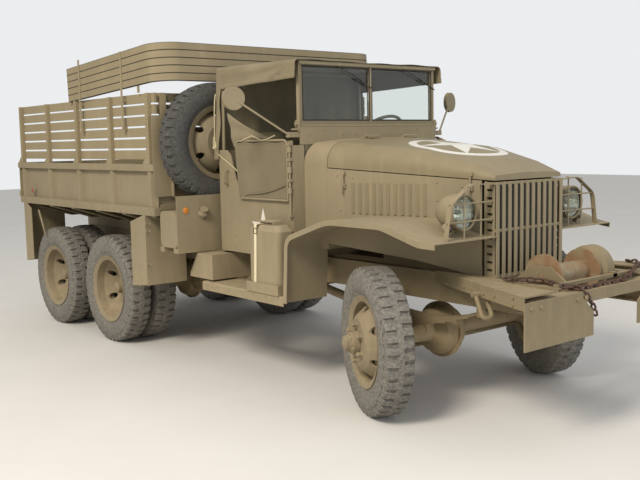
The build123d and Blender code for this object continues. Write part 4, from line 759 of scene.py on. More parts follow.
def hung(x, y, nx, ny, reach, z):
    """Cloth point = outline + reach * normal, leaning out by TOP_LEAN per mm of fall, plus its fold."""
    lean = TOP_LEAN * (2214 - np.minimum(z, 2214))
    px, py = x + nx * reach, y + ny * (reach + lean)
    out = fold(px, py, z) * smoothstep(2246, 2200, z)
    return np.stack([px + nx * out, py + ny * out, z], axis=-1)


def canvas_top_points():
    """Three grids that share their edges: skirt (shoulder and flap), curtain behind, and flat top."""
    x, y, nx, ny = top_outline()
    bend, top = np.linspace(0, np.pi / 2, 7), top_height(x, y)
    back = np.clip((TOP_FRONT - x) / (TOP_FRONT - CURTAIN_FRONT), 0, 1)
    hem = FLAP_HEM[0] + (FLAP_HEM[1] - FLAP_HEM[0]) * back
    share = np.linspace(0, 1, 17)[1:, None]
    rounded = top - SHOULDER * (1 - np.cos(bend))[:, None]
    z = np.concatenate([rounded, top - SHOULDER - share * (top - SHOULDER - hem)])
    reach = np.concatenate([SHOULDER * np.sin(bend), np.full(16, SHOULDER)])[:, None] * np.ones_like(z)
    skirt = hung(x, y, nx, ny, reach, z)
    behind = (x <= CURTAIN_FRONT + 0.1)
    low = np.linspace(0, 1, 46)[:, None]
    z_low = hem[behind] + low * (CURTAIN_HEM - hem[behind])
    curtain = hung(x[behind], y[behind], nx[behind], ny[behind], np.full_like(z_low, SHOULDER), z_low)
    inner = TOP_HALF - SHOULDER
    gx, gy = np.meshgrid(x[:SIDE_POINTS + 1], np.linspace(-inner, inner, REAR_POINTS), indexing="ij")
    rim = smoothstep(0, 120, np.minimum(inner - np.abs(gy), gx - (TOP_REAR + SHOULDER)))
    flat = np.stack([gx, gy, top_height(gx, gy) + rim * fold(gx, gy, np.full_like(gx, 2240.0))], axis=-1)
    return skirt, curtain, flat


def cloth_piece(name, grids, finish, thickness=2.5):
    """Join grids along their shared edges, face them outwards and give the cloth its thickness inwards."""
    faces, count = [], 0
    for grid in grids:
        faces.append(grid_faces(*grid.shape[:2]) + count)
        count += grid.shape[0] * grid.shape[1]
    verts = np.concatenate([grid.reshape(-1, 3) for grid in grids])
    cloth = merged(piece_from(name, place(verts), np.concatenate(faces), finish, smooth=True), 0.0002)
    area = sum(face.area for face in cloth.data.polygons)
    wall = cloth.modifiers.new("cloth_thickness", "SOLIDIFY")
    wall.thickness, wall.offset = thickness * MM, -1.0
    return cloth, area


top_sheet, top_area = cloth_piece("canvas_top_sheet", canvas_top_points(), top_duck)
fit(top_sheet, "chassis")
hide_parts("canvas_top")
print("canvas top:", round(top_area, 2), "square metres,", len(top_sheet.data.vertices), "points")

# %% [markdown]
# Every free edge of such a top is folded over and sewn, which doubles the cloth and makes a firm band. The
# band is drawn as its own narrow strip that lies on the cloth, two stitch lines apart.

# %% Hems of the top
def strip_along(path, outward, drop, width, lift):
    """Strip of cloth: from each point of the path it runs width mm along drop, lifted off by lift mm."""
    path, outward = np.asarray(path, float), unit(outward)
    share = np.array([0.0, 0.04, 0.5, 0.96, 1.0])[:, None, None]
    raised = np.array([0.0, 1.0, 1.0, 1.0, 0.0])[:, None, None]
    return path[None] + share * width * np.asarray(drop, float) + (0.4 + raised * lift) * outward[None]


HEM_WIDTH, CURTAIN_HEM_WIDTH, HEM_LIFT = 34.0, 30.0, 1.6
skirt, curtain, flat = canvas_top_points()
hems = []
for side, row in ((-1, skirt[-1][:SIDE_POINTS]), (1, skirt[-1][::-1][:SIDE_POINTS])):
    out = np.broadcast_to([0.0, side, 0.0], row.shape)
    hems.append(strip_along(row, out, [0, -side * TOP_LEAN, 1.0], HEM_WIDTH, HEM_LIFT))
    edge = curtain[:, 0] if side < 0 else curtain[:, -1]
    out = np.broadcast_to([0.0, side, 0.0], edge.shape)
    hems.append(strip_along(edge, out, [-1.0, 0, 0], CURTAIN_HEM_WIDTH, HEM_LIFT))
hem_piece, hem_area = cloth_piece("canvas_top_hems", hems, top_duck, 1.0)
fit(hem_piece, "chassis")
print("hems sewn:", round(hem_area, 2), "square metres")

# %% [markdown]
# A sealed lamp is a silvered glass bowl with a filament in front of it and a moulded lens closing it. The
# bowl is a parabola, so that light from the filament leaves it straight. The rim that clamps the lens is a
# rolled steel ring, and the flutes that spread the beam are moulded on the back of the lens.

# %% Lamps
silver = plain("vacuum_silvered_glass", "#D3D0C8", Metallic=1.0, Roughness=0.06)
fluted_glass = plain("moulded_lens_glass", "#F6F3EA", Roughness=0.03, IOR=1.5, Transmission_Weight=1.0,
                     Coat_Weight=0.6)
smoked_glass = plain("smoked_marker_lens", "#3B2A22", Roughness=0.12, Coat_Weight=0.8)
tungsten = plain("frosted_bulb_glass", "#E8E2D2", Roughness=0.35)
LAMP_MM, MARKER_MM = (452.0, 530.0, 1262.0), (436.0, 640.0, 1176.0)
BOWL_RADIUS, BOWL_DEPTH, BOWL_MOUTH, BOWL_WALL = 96.0, 74.0, -6.0, 3.0
lamp_spots = np.array(LAMP_MM) * [[1, -1, 1], [1, 1, 1]]
marker_spots = np.array(MARKER_MM) * [[1, -1, 1], [1, 1, 1]]


def turned_piece(name, outline, centres, outward, sides, finish):
    """One piece of the same outline turned at each centre; smooth faces with sharp edges above 35 degrees."""
    points, faces = turned(outline, centres, outward, sides)
    piece = merged(piece_from(name, place(points), faces, finish, smooth=True))
    piece.data.set_sharp_from_angle(angle=np.radians(35))
    return fit(piece, "chassis")


FORWARD = [1, 0, 0]
rim = [(4, 95), (11, 97), (15, 102), (13, 107), (5, 109.5), (-14, 109.5), (-14, 107), (2, 107), (4, 95)]
turned_piece("headlamp_rims", rim, lamp_spots, FORWARD, 56, body_enamel)
bowl_radius = np.linspace(BOWL_RADIUS, 6, 18)
# A parabola: depth below the mouth = BOWL_DEPTH * (1 - (radius / BOWL_RADIUS) squared)
inside = BOWL_MOUTH - BOWL_DEPTH * (1 - (bowl_radius / BOWL_RADIUS) ** 2)
bowl = np.stack([inside, bowl_radius], axis=-1)
back = bowl[::-1] - [BOWL_WALL, 0]
bowl = np.concatenate([bowl, [(-80, 0), (-84, 0)], back, [(BOWL_MOUTH, BOWL_RADIUS)]])
turned_piece("headlamp_reflectors", bowl, lamp_spots, FORWARD, 56, silver)
bulb = [(-82, 0), (-82, 9), (-60, 9), (-56, 13), (-44, 15), (-32, 12), (-27, 6), (-25, 0)]
turned_piece("headlamp_bulbs", bulb, lamp_spots, FORWARD, 20, tungsten)
dome = [(-2, 0), (-2, 29), (3, 29), (9, 26), (14, 18), (17, 8), (18, 0)]
turned_piece("marker_lenses", dome, marker_spots, FORWARD, 28, smoked_glass)
marker_rim = [(-2, 28), (-2, 32), (4, 33), (6, 30), (4, 28), (-2, 28)]
turned_piece("marker_rims", marker_rim, marker_spots, FORWARD, 28, body_enamel)
FLUTE_PITCH, FLUTE_RISE, LENS_DEPTH = 11.0, 1.1, -8.5


def lens_flutes():
    """Disc whose depth ripples across the beam: x = depth - rise * |sin(pi y / pitch)|."""
    radius, angle = np.linspace(0, 94, 40), np.linspace(0, 2 * np.pi, 121)[:-1]
    r, a = np.meshgrid(radius, angle, indexing="ij")
    y, z = r * np.cos(a), r * np.sin(a)
    x = LENS_DEPTH - FLUTE_RISE * np.abs(np.sin(np.pi * y / FLUTE_PITCH))
    points = np.concatenate([np.stack([x, y, z], axis=-1).reshape(-1, 3) + spot for spot in lamp_spots])
    faces = grid_faces(*x.shape, close_columns=True)
    faces = np.concatenate([faces, faces + x.size])
    piece = merged(piece_from("headlamp_flutes", place(points), faces, fluted_glass, smooth=True))
    wall = piece.modifiers.new("glass_thickness", "SOLIDIFY")
    wall.thickness, wall.offset = 2 * MM, -1.0
    return fit(piece, "chassis")


lens_flutes()
print("lamps fitted")

# %% [markdown]
# The hood carries the recognition star of its army: a five-pointed star in a ring, laid on by brush
# through a stencil. It is thin paint that follows the metal, so it is drawn in the hood's own finish. The
# ring is where the distance from its centre lies between two radii. The star is folded: the angle is wrapped
# into one tenth of a turn, where a star's edge is a single straight line. A fine noise breaks the paint up
# where it has worn.

# %% Star on the hood
STAR_MM, RING_OUTER, RING_BAND, STAR_TIP = (-62.0, 0.0), 325.0, 54.0, 285.0


def paint_star(paint, colour):
    """Mix a worn white over the paint's own colour: mask = ring(r) or star(r, folded angle), times wear."""
    tree = paint.node_tree
    face = tree.nodes["Principled BSDF"]
    under = face.inputs["Base Color"].links[0].from_socket
    spot = add(tree, "ShaderNodeTexCoord").outputs["Object"]
    centre = place([*STAR_MM, 0.0]).tolist()
    moved = add(tree, "ShaderNodeVectorMath", {0: spot, 1: centre}, operation="SUBTRACT")
    ragged = add(tree, "ShaderNodeTexNoise", {"Vector": spot, "Scale": 55.0, "Detail": 4.0})
    apart = add(tree, "ShaderNodeSeparateXYZ", {0: moved.outputs[0]})

    def sum_of(operation, *inputs):
        return add(tree, "ShaderNodeMath", dict(enumerate(inputs)), operation=operation).outputs[0]

    x, y = apart.outputs[0], apart.outputs[1]
    radius = sum_of("SQRT", sum_of("ADD", sum_of("MULTIPLY", x, x), sum_of("MULTIPLY", y, y)))
    radius = sum_of("ADD", radius, sum_of("MULTIPLY", sum_of("SUBTRACT", ragged.outputs[0], 0.5), 4 * MM))
    ring = sum_of("MULTIPLY", sum_of("LESS_THAN", radius, RING_OUTER * MM),
                  sum_of("GREATER_THAN", radius, (RING_OUTER - RING_BAND) * MM))
    # One tip points back at the windshield, so the angle is measured from the truck's -X
    angle = sum_of("ABSOLUTE", sum_of("ARCTAN2", y, sum_of("MULTIPLY", x, -1)))
    fifth = 2 * np.pi / 5
    folded = sum_of("ABSOLUTE", sum_of("SUBTRACT", sum_of("MODULO", sum_of("ADD", angle, fifth / 2), fifth),
                                       fifth / 2))
    # The edge from a tip to its notch leans 18 degrees from the tip's own radius
    edge = sum_of("MULTIPLY", radius, sum_of("SINE", sum_of("ADD", folded, np.pi / 10)))
    star = sum_of("LESS_THAN", edge, STAR_TIP * MM * float(np.sin(np.pi / 10)))
    worn = add(tree, "ShaderNodeTexNoise", {"Vector": spot, "Scale": 90.0, "Detail": 8.0, "Roughness": 0.75})
    cover = add(tree, "ShaderNodeMapRange", {"Value": worn.outputs[0], "From Min": 0.36, "From Max": 0.48,
                                             "To Min": 0.55, "To Max": 0.93})
    mask = sum_of("MULTIPLY", sum_of("MAXIMUM", ring, star), cover.outputs[0])
    tone = add(tree, "ShaderNodeMix", {0: mask, 6: under, 7: linear(colour)}, data_type="RGBA")
    tree.links.new(tone.outputs[2], face.inputs["Base Color"])


paint_star(hood_enamel, "#DAD8D0")
print("star painted")

# %% [markdown]
# A towing chain lies over the bumper and the winch. A link is a bar bent into a stadium, two straights and
# two half rounds, and every second link stands at a right angle to its neighbours. The links follow a smooth
# path laid over what carries them, one pitch apart.

# %% Towing chain
chain_steel = rusty("rusted_chain_iron", "#473E38", "#553A2B", roughness=0.8, metallic=0.45, spots=40.0)
WIRE, LINK_LONG, LINK_WIDE = 6.4, 58.0, 38.0


def along_path(path, pitch):
    """Places every pitch mm along a path, and the unit direction of travel at each."""
    path = np.asarray(path, float)
    run = np.concatenate([[0], np.cumsum(np.linalg.norm(np.diff(path, axis=0), axis=1))])
    at = np.arange(pitch / 2, run[-1], pitch)
    spots = np.stack([np.interp(at, run, path[:, k]) for k in range(3)], axis=-1)
    ahead = np.stack([np.interp(at + pitch / 2, run, path[:, k]) for k in range(3)], axis=-1)
    behind = np.stack([np.interp(at - pitch / 2, run, path[:, k]) for k in range(3)], axis=-1)
    return spots, unit(ahead - behind)


def chain(name, path, tilt=0.5):
    """Links: bar centre = spot + u * along + v * sideways, with (u, v) a stadium, and a round section."""
    spots, along = along_path(path, LINK_LONG - 2 * WIRE - 1.5)
    level, upright = across(along)
    turn = tilt + (np.arange(len(spots)) % 2) * np.pi / 2 + 0.15 * np.sin(np.arange(len(spots)) * 1.7)
    side = level * np.cos(turn)[:, None] + upright * np.sin(turn)[:, None]
    normal = np.cross(along, side)
    half_wide, half_straight = (LINK_WIDE - 2 * WIRE) / 2, (LINK_LONG - LINK_WIDE) / 2
    bend = np.linspace(-np.pi / 2, np.pi / 2, 7)
    u = np.concatenate([half_straight + half_wide * np.cos(bend), -half_straight - half_wide * np.cos(bend)])
    v = np.concatenate([half_wide * np.sin(bend), -half_wide * np.sin(bend)])
    out_u = np.concatenate([np.cos(bend), -np.cos(bend)])
    out_v = np.concatenate([np.sin(bend), -np.sin(bend)])
    ring = np.arange(7) * 2 * np.pi / 7
    bar = (spots[:, None, :] + u[None, :, None] * along[:, None] + v[None, :, None] * side[:, None])
    out = out_u[None, :, None] * along[:, None] + out_v[None, :, None] * side[:, None]
    points = (bar[:, :, None] + WIRE * (np.cos(ring)[None, None, :, None] * out[:, :, None]
                                        + np.sin(ring)[None, None, :, None] * normal[:, None, None]))
    one = grid_faces(len(u), len(ring), close_rows=True, close_columns=True)
    faces = one[None] + (np.arange(len(spots)) * len(u) * len(ring))[:, None, None]
    piece = piece_from(name, place(points.reshape(-1, 3)), faces.reshape(-1, 4), chain_steel, smooth=True)
    return fit(merged(piece), "chassis"), len(spots)


chain_route = curve_through([(700, -470, 893), (905, -380, 893), (1010, -400, 884), (1078, -330, 868),
                             (1088, -225, 858), (1080, -110, 857), (1086, 40, 858), (1076, 191, 872),
                             (1000, 400, 893), (905, 600, 893), (800, 640, 893)], 14)
tail_route = curve_through([(1040, -372, 880), (1096, -330, 869), (1112, -302, 850), (1118, -262, 806),
                            (1119, -216, 752), (1112, -190, 712)], 14)
links = chain("towing_chain", chain_route)[1] + chain("towing_chain_tail", tail_route, 0.2)[1]
print("chain:", links, "links")

# %% [markdown]
# Slatted racks are bolted through every post with round-headed carriage bolts, and pressed steel panels are
# held by small screws. Their places are rows and columns, so each family is a grid of points and one outward
# direction.

# %% Bolts and screws of the body
def both_sides(points):
    """The points, followed by their mirror images across the truck's middle."""
    points = np.atleast_2d(points)
    return np.concatenate([points, points * [1, -1, 1]])


def grid_of(*lines):
    """Every combination of the given lists of X, Y and Z."""
    return np.stack(np.meshgrid(*[np.atleast_1d(line).astype(float) for line in lines], indexing="ij"),
                    axis=-1).reshape(-1, 3)


def side_heads(name, points, radius, rise, finish=body_enamel, outward=(0, -1, 0), sides=6, crown=1.0):
    """Heads on the right-hand side and, mirrored, on the left."""
    points = np.atleast_2d(points)
    out = both_sides(np.broadcast_to(np.asarray(outward, float), points.shape))
    return heads(name, both_sides(points), out, radius, rise, finish, sides=sides, crown=crown)


# Where the hood's side and the bumper wing's edge begin at the rear, their half width there, and their taper
HOOD_REAR_X, HOOD_REAR_HALF, HOOD_TAPER = -690.0, 600.0, 277 / 1203
WING_REAR_X, WING_REAR_HALF, WING_SPREAD = 150.0, 441.0, 391 / 970
HOOD_SIDE_OUT, WING_OUT = (0.2244, -0.9745, 0.0), (-391.0, -970.0, 0.0)


def hood_side(x, z):
    """Places on the hood's right side panel, which tapers from the cowl to the brush guard."""
    x = np.asarray(x, float)
    y = (x - HOOD_REAR_X) * HOOD_TAPER - HOOD_REAR_HALF
    return np.stack([x, y, np.broadcast_to(z, x.shape)], axis=-1)


def wing_side(x, z):
    """Places on the slanted outer edge of the right bumper wing."""
    x = np.asarray(x, float)
    y = -WING_REAR_HALF - (x - WING_REAR_X) * WING_SPREAD
    return np.stack([x, y, np.broadcast_to(z, x.shape)], axis=-1)


CAB_SIDE = 745.0
POSTS = -4813 + 645 * np.arange(5)
SLATS = 2085 - 36 - 87 * np.arange(6)
BOLT_GAP = 34
rack_points = grid_of(POSTS, -1114, SLATS) + [0, 0, BOLT_GAP / 2]
side_heads("rack_bolts_upper", rack_points, 9, 4, slat_enamel, sides=10, crown=1.7)
side_heads("rack_bolts_lower", rack_points - [0, 0, BOLT_GAP], 9, 4, slat_enamel, sides=10, crown=1.7)
side_heads("rack_corner_bolts", grid_of([POSTS[4] + 33, POSTS[0] - 33], -1082, [1986, 1899, 1812]), 7, 5)
wing_bolts = wing_side([300, 503, 636, 724, 836, 641], [822, 840, 836, 835, 842, 822])
side_heads("wing_bolts", wing_bolts, 11, 8, frame_enamel, outward=WING_OUT)
side_heads("wing_bolts_forward", wing_side([1020, 1020], [864, 826]), 11, 8, frame_enamel, outward=WING_OUT)
cowl_screws = [(-890, -285, 1742), (-890, -161, 1741), (-890, -463, 1774), (-890, -590, 1742)]
side_heads("cowl_screws", cowl_screws, 6, 4, outward=(1, 0, 0), sides=8, crown=1.4)
screws = hood_side([-490, 131, 134, -615, -587, 138, 300], [1448, 1422, 1312, 1462, 1231, 1175, 1400])
side_heads("hood_side_screws", screws, 6.5, 4, outward=HOOD_SIDE_OUT, sides=8, crown=1.5)
side_heads("cab_side_screws", grid_of([-1740, -1600], -CAB_SIDE, [1000, 930]), 7, 4, sides=8, crown=1.5)
side_heads("cab_rear_rivets", grid_of(-1752, -745, np.linspace(940, 1600, 9)), 4.5, 3, sides=8, crown=1.5)
side_heads("bumper_bolts", grid_of(1128, [-300, -380, -700, -780], 815), 13, 9, frame_enamel,
           outward=(1, 0, 0))
side_heads("running_board_bolts", grid_of(np.linspace(-1740, -840, 7), -930, 640), 6, 4, sides=8, crown=1.5)
side_heads("mudguard_bolts", grid_of([-2300, -2240], -1118, [1080, 1020, 760]), 7, 4, sides=8, crown=1.5)
side_heads("sill_rivets", grid_of(np.linspace(-4850, -2200, 26), -1118, 1162), 6, 3, sides=8, crown=1.5)
guard_bars = (2 * np.arange(12) / 11 - 1) * (323 - 12.5)
heads("guard_rivets", grid_of(529, guard_bars, [1143, 1423, 866]), [1, 0, 0], 5, 3, body_enamel, sides=8,
      crown=1.6)
side_heads("lamp_strap_bolts", [(508, -560, 1418), (508, -400, 1433)], 7, 5, outward=(0, 0, 1))
print("bolts fitted")

# %% [markdown]
# The windshield is two panes in a pressed frame with a folded lip over the top. Each pane has a wiper that
# hangs from the head rail. The frame folds down about two brackets at its lower corners, which wing nuts
# lock.

# %% Windshield fittings
black_rubber = rubber("window_sealing_rubber", "#2B2A27", "#3B3935", "#6A6456", 0.25)


def frame_loop(y0, y1, z0, z1, x, width, depth):
    """Four flat bars round an opening: centres and half lengths, for a seal or a folded lip."""
    middle_y, middle_z = (y0 + y1) / 2, (z0 + z1) / 2
    centres = [(x, middle_y, z0), (x, middle_y, z1), (x, y0, middle_z), (x, y1, middle_z)]
    wide, high = (y1 - y0) / 2 + width / 2, (z1 - z0) / 2 - width / 2
    return centres, [(depth / 2, wide, width / 2)] * 2 + [(depth / 2, width / 2, high)] * 2


for word, y0, y1 in (("right", -631, -12), ("left", 12, 631)):
    centres, halves = frame_loop(y0, y1, 1838, 2208, -905.0, 9, 5)
    blocks(f"{word}_pane_seal", centres, halves, black_rubber, edge=1.2)
    centres, halves = frame_loop(y0 - 15, y1 + 15, 1823, 2222, -904.5, 5, 4)
    blocks(f"{word}_pane_retainer", centres, halves, body_enamel, edge=1.0)
blocks("head_rail_lip", [(-900, 0, 2238), (-892, 0, 2228)], [(12, 668, 2), (2, 668, 10)], body_enamel)
blocks("screen_divider", [(-904, 0, 2020)], [(3, 7, 200)], body_enamel)
blocks("screen_foot_strip", [(-899, 0, 1796)], [(8, 664, 3)], body_enamel)
for word, y, foot_y, foot_z in (("right", -313, -60, 2100), ("left", 340, 590, 2108)):
    arm = curve_through([(-898, y, 2222), (-893, y + 6, 2206), (-894, (y + foot_y) / 2, 2160),
                         (-897, foot_y, foot_z)], 5)
    tube(f"{word}_wiper_arm", arm, 2.8, black_rubber, sides=6)
    blade = np.array([(-901.5, foot_y - 88, foot_z + 34), (-901, foot_y + 78, foot_z - 36)])
    tube(f"{word}_wiper_blade", np.linspace(blade[0], blade[1], 5), 4.0, black_rubber, sides=6)
    blocks(f"{word}_wiper_motor", [(-896, y, 2228)], [(9, 17, 13)], body_enamel, edge=4)
for word, side in (("right", -1), ("left", 1)):
    bracket = [(-912, side * 672, 1800), (-925, side * 690, 1776)]
    blocks(f"{word}_screen_bracket", bracket, [(18, 5, 42), (26, 14, 6)], body_enamel, edge=2)
    knob = [(0, 0), (0, 11), (8, 11), (10, 8), (22, 8), (24, 5), (24, 0)]
    turned_piece(f"{word}_screen_knob", knob, [(-912, side * 677, 1812)], [0, side, 0], 12, body_enamel)
    wings = [(-912, side * 694, 1826), (-912, side * 694, 1798)]
    blocks(f"{word}_knob_wings", wings, [(3, 4, 9)], body_enamel, edge=1.5)
print("windshield dressed")

# %% [markdown]
# The half doors are canvas stretched in a rod frame. The cloth is wrapped round the rods, so its edge is a
# soft roll, and it bellies a little between them. A curved welt is sewn across its lower part, and a pale
# rope laces the right door's top edge. The cloth is a grid between the front and rear rods.

# %% Door canvases
manila = duck("weathered_manila_rope", "#A79B78", "#C3B894", "#CFC6A6", yarn_mm=5.0)
DOOR_FRONT, DOOR_REAR, DOOR_TOP, DOOR_FOOT, DOOR_Y = -924.0, -1545.0, 1704.0, 1290.0, -763.0
CLOTH_FOOT, BELLY = 1296.0, 7.0


def door_points(side):
    """Cloth point = blend of the front and rear rods by u, of foot and top by v, plus the belly, one
    crease, and rolls where the edges go round the rods."""
    u, v = np.meshgrid(np.linspace(0, 1, 56), np.linspace(0, 1, 44), indexing="ij")
    top = DOOR_TOP - 9 - 11 * np.abs(np.sin(np.pi * u * 2.5)) * (1 - 0.3 * u)
    z = CLOTH_FOOT + v * (top - CLOTH_FOOT)
    rear = DOOR_REAR + 45 * (DOOR_TOP - z) / (DOOR_TOP - DOOR_FOOT)
    x = DOOR_FRONT - 4 + u * (rear + 4 - DOOR_FRONT + 4)
    corner = 26 * smoothstep(0.94, 1.0, v) * (smoothstep(0.06, 0, u) - smoothstep(0.94, 1, u))
    crease = 2.2 * np.sin(9 * u + 4 * v) * np.sin(7 * v + 1) * np.sin(np.pi * u)
    belly = BELLY * np.sin(np.pi * u) * np.sin(np.pi * v) + crease
    edges = [smoothstep(0.035, 0, u), smoothstep(0.965, 1, u), smoothstep(0.97, 1, v)]
    rolled = 7.5 * np.maximum.reduce(edges)
    y = DOOR_Y - 3 - belly - rolled
    return np.stack([x - corner, y, z], axis=-1) * [1, -side, 1]


for word, side in (("right", -1), ("left", 1)):
    cloth, area = cloth_piece(f"{word}_door_cloth", [door_points(side)], door_duck_with_painted_shade, 4.0)
    fit(cloth, f"{word}_door")
    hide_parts(f"{word}_door_canvas")
    welt = curve_through([(-1430, side * 773, 1312), (-1373, side * 773, 1322), (-1224, side * 773, 1334),
                          (-1068, side * 773, 1360), (-940, side * 773, 1396)], 8)
    across_door, up_door = (welt[:, 0] - DOOR_FRONT) / -560, (welt[:, 2] - CLOTH_FOOT) / 399
    welt[:, 1] += side * BELLY * np.sin(np.pi * across_door) * np.sin(np.pi * up_door)
    tube(f"{word}_door_welt", welt, 4.5, door_duck_with_painted_shade, f"{word}_door", 7)
    lace = np.array([(-1440, -776, 1706), (-1428, -777, 1712), (-1328, -774, 1738), (-1316, -774, 1738),
                     (-1218, -777, 1711), (-1206, -776, 1706), (-1146, -774, 1712), (-1050, -770, 1738)])
    if side < 0:
        tube("door_lacing", curve_through(lace, 6), 4.0, manila, "right_door", 7)
print("door canvases fitted")

# %% [markdown]
# Behind the right seat the curtain's front edge is laced with pale rope, knotted, and tied down to the body.
# A loose three-cornered flap of the same duck hangs from it beside the door.

# %% Curtain lacing and flap
rope_path = curve_through([(-1812, -752, 2060), (-1822, -756, 1990), (-1832, -756, 1850), (-1836, -755, 1710),
                           (-1834, -753, 1650), (-1800, -752, 1612), (-1740, -751, 1580), (-1640, -750, 1532),
                           (-1556, -750, 1486), (-1470, -750, 1418)], 8)
tube("curtain_rope", rope_path, 4.5, manila, sides=7)
# The knot is two rising turns: (x, z) goes round an ellipse while y sways out and back
angle = np.linspace(0, 4 * np.pi, 42)
knot_x, knot_y, knot_z = -1834, -757, 1650
knot = np.stack([knot_x + 15 * np.cos(angle), knot_y - 6 * np.sin(angle * 0.5),
                 knot_z + 18 * np.sin(angle) + 4 * angle], axis=-1)
tube("curtain_knot", knot, 5.0, manila, sides=7)
rope_end = curve_through([(-1838, -760, 1648), (-1846, -762, 1690), (-1838, -762, 1742)], 6)
tube("curtain_rope_end", rope_end, 4.0, manila, sides=7)


def flap_points():
    """Three-cornered flap: rows shrink from the curtain's edge to the point, with folds along its fall."""
    u, v = np.meshgrid(np.linspace(0, 1, 40), np.linspace(0, 1, 26), indexing="ij")
    high = np.array([-1660.0, -749.0, 1916.0])
    low = np.array([-1590.0, -749.0, 1660.0])
    point = np.array([-1150.0, -752.0, 1722.0])
    edge = high + v[..., None] * (low - high)
    cloth = edge + u[..., None] * (point - edge)
    cloth[..., 2] -= 14 * np.sin(np.pi * u) * (1 - 0.5 * v)
    cloth[..., 1] -= 5 * np.sin(11 * v + 2 * u) * (1 - u) + 3 * np.sin(5 * u + 1)
    return cloth


flap, flap_area = cloth_piece("corner_flap", [flap_points()], top_duck, 2.0)
fit(flap, "chassis")
print("ropes and flap hung")

# %% [markdown]
# Webbing is a narrow woven band. The fuel can is held to the cab's side by one that goes over its top and
# down its outer face to its foot, drawn tight by a steel buckle. The band is a flat rectangle carried along
# that route.

# %% Fuel can strap
def band(name, path, outward, width, thickness, finish):
    """Flat band: at each point a rectangle, width along across x outward, thickness along outward."""
    path, outward = np.asarray(path, float), unit(outward)
    along = unit(np.gradient(path, axis=0))
    side = unit(np.cross(along, outward))
    u = np.array([-0.5, -0.5, 0.5, 0.5]) * width
    w = np.array([0.0, 1.0, 1.0, 0.0]) * thickness
    rings = path[:, None] + u[None, :, None] * side[:, None] + w[None, :, None] * outward[:, None]
    ends = [np.repeat(rings[i].mean(axis=0)[None, None], 4, axis=1) for i in (0, -1)]
    points = np.concatenate([ends[0], rings, ends[1]])
    faces = grid_faces(len(points), 4, close_columns=True)
    piece = piece_from(name, place(points.reshape(-1, 3)), faces, finish)
    return fit(merged(piece), "chassis")


cream_webbing = duck("bleached_cotton_webbing", "#CBBF9C", "#DED3B4", "#BDB08F", yarn_mm=3.0)
strap_route = [(-1088, -762, 1131), (-1088, -850, 1132), (-1088, -922, 1131), (-1088, -927, 1122),
               (-1092, -927, 1000), (-1100, -927, 830), (-1108, -927, 683), (-1108, -926, 664)]
strap_outward = [(0, 0, 1), (0, 0, 1), (0, -0.7, 1), (0, -1, 0.3)] + [(0, -1, 0)] * 4
band("can_strap", strap_route, strap_outward, 27, 2.5, cream_webbing)
buckle_bars = [(-1089, -931, 1104), (-1089, -931, 1068), (-1108, -931, 1086), (-1070, -931, 1086)]
buckle_halves = [(21, 2, 2.2), (21, 2, 2.2), (2.2, 2, 18), (2.2, 2, 18)]
blocks("can_buckle", buckle_bars, buckle_halves, hook_steel, edge=0.8)
print("can strapped")

# %% [markdown]
# Reflectors are pressed glass discs in steel rims. The filler cap is a turned lid with a bar to grip it.
# The mirror is silvered glass in a rolled rim. All are outlines turned about an axis.

# %% Reflectors, filler cap and mirrors
amber_glass = smoky("amber_reflector_glass", "#B9702A", "#D08A3C", roughness=0.25)
red_glass = smoky("red_reflector_glass", "#7E2A1E", "#9A3A28", roughness=0.25)
disc = [(-2, 0), (-2, 27), (4, 27), (7, 22), (9, 10), (9, 0)]
disc_rim = [(-2, 26), (-2, 31), (7, 31), (8, 27), (4, 26), (-2, 26)]
reflectors = [("amber", (-1893, -1000, 1193), (1, 0, 0), amber_glass),
              ("red_side", (-4564, -1119, 1274), (0, -1, 0), red_glass),
              ("red_side_left", (-4564, 1119, 1274), (0, 1, 0), red_glass)]
for name, spot, outward, finish in reflectors:
    turned_piece(f"{name}_reflector", disc, spot, outward, 32, finish)
    turned_piece(f"{name}_reflector_rim", disc_rim, spot, outward, 32, body_enamel)
cap_axis, cap_at = np.array([0.6, 0.0, 0.8]), np.array([-1892.6, -850.0, 1161.9])
cap = [(-4, 0), (-4, 42), (12, 42), (16, 38), (18, 30), (18, 0)]
turned_piece("filler_cap", cap, cap_at, cap_axis, 40, body_enamel)
lever = across(cap_axis)[0]
cap_bar = cap_at + np.linspace(-36, 36, 7)[:, None] * lever + 25 * cap_axis
tube("filler_cap_bar", cap_bar, 5.5, body_enamel)
mirror_spots = both_sides([(-1104, -1067, 1989)])
mirror_face = unit([[-1, 0.25, 0], [-1, -0.25, 0]])
mirror_glass = [(10, 0), (10, 72), (12.6, 72), (12.6, 0)]
mirror_rim = [(8, 71), (8, 80), (14, 80), (15, 76), (13, 71), (8, 71)]
for word, spot, look in zip(("right", "left"), mirror_spots, mirror_face):
    turned_piece(f"{word}_mirror_glass", mirror_glass, spot, look, 48, silver)
    turned_piece(f"{word}_mirror_rim", mirror_rim, spot, look, 48, body_enamel)
print("reflectors, cap and mirrors fitted")

# %% [markdown]
# Small fittings make a body read as something people use: spring latches that hold the hood, a grab handle
# by the door, straps that hold the bows, braces of the rear mudguards, and tail lamps. Bars are tubes along
# a path, plates are blocks.

# %% Latches, handles and brackets
LATCH_TOP, LATCH_FOOT = 1478.0, 1392.0


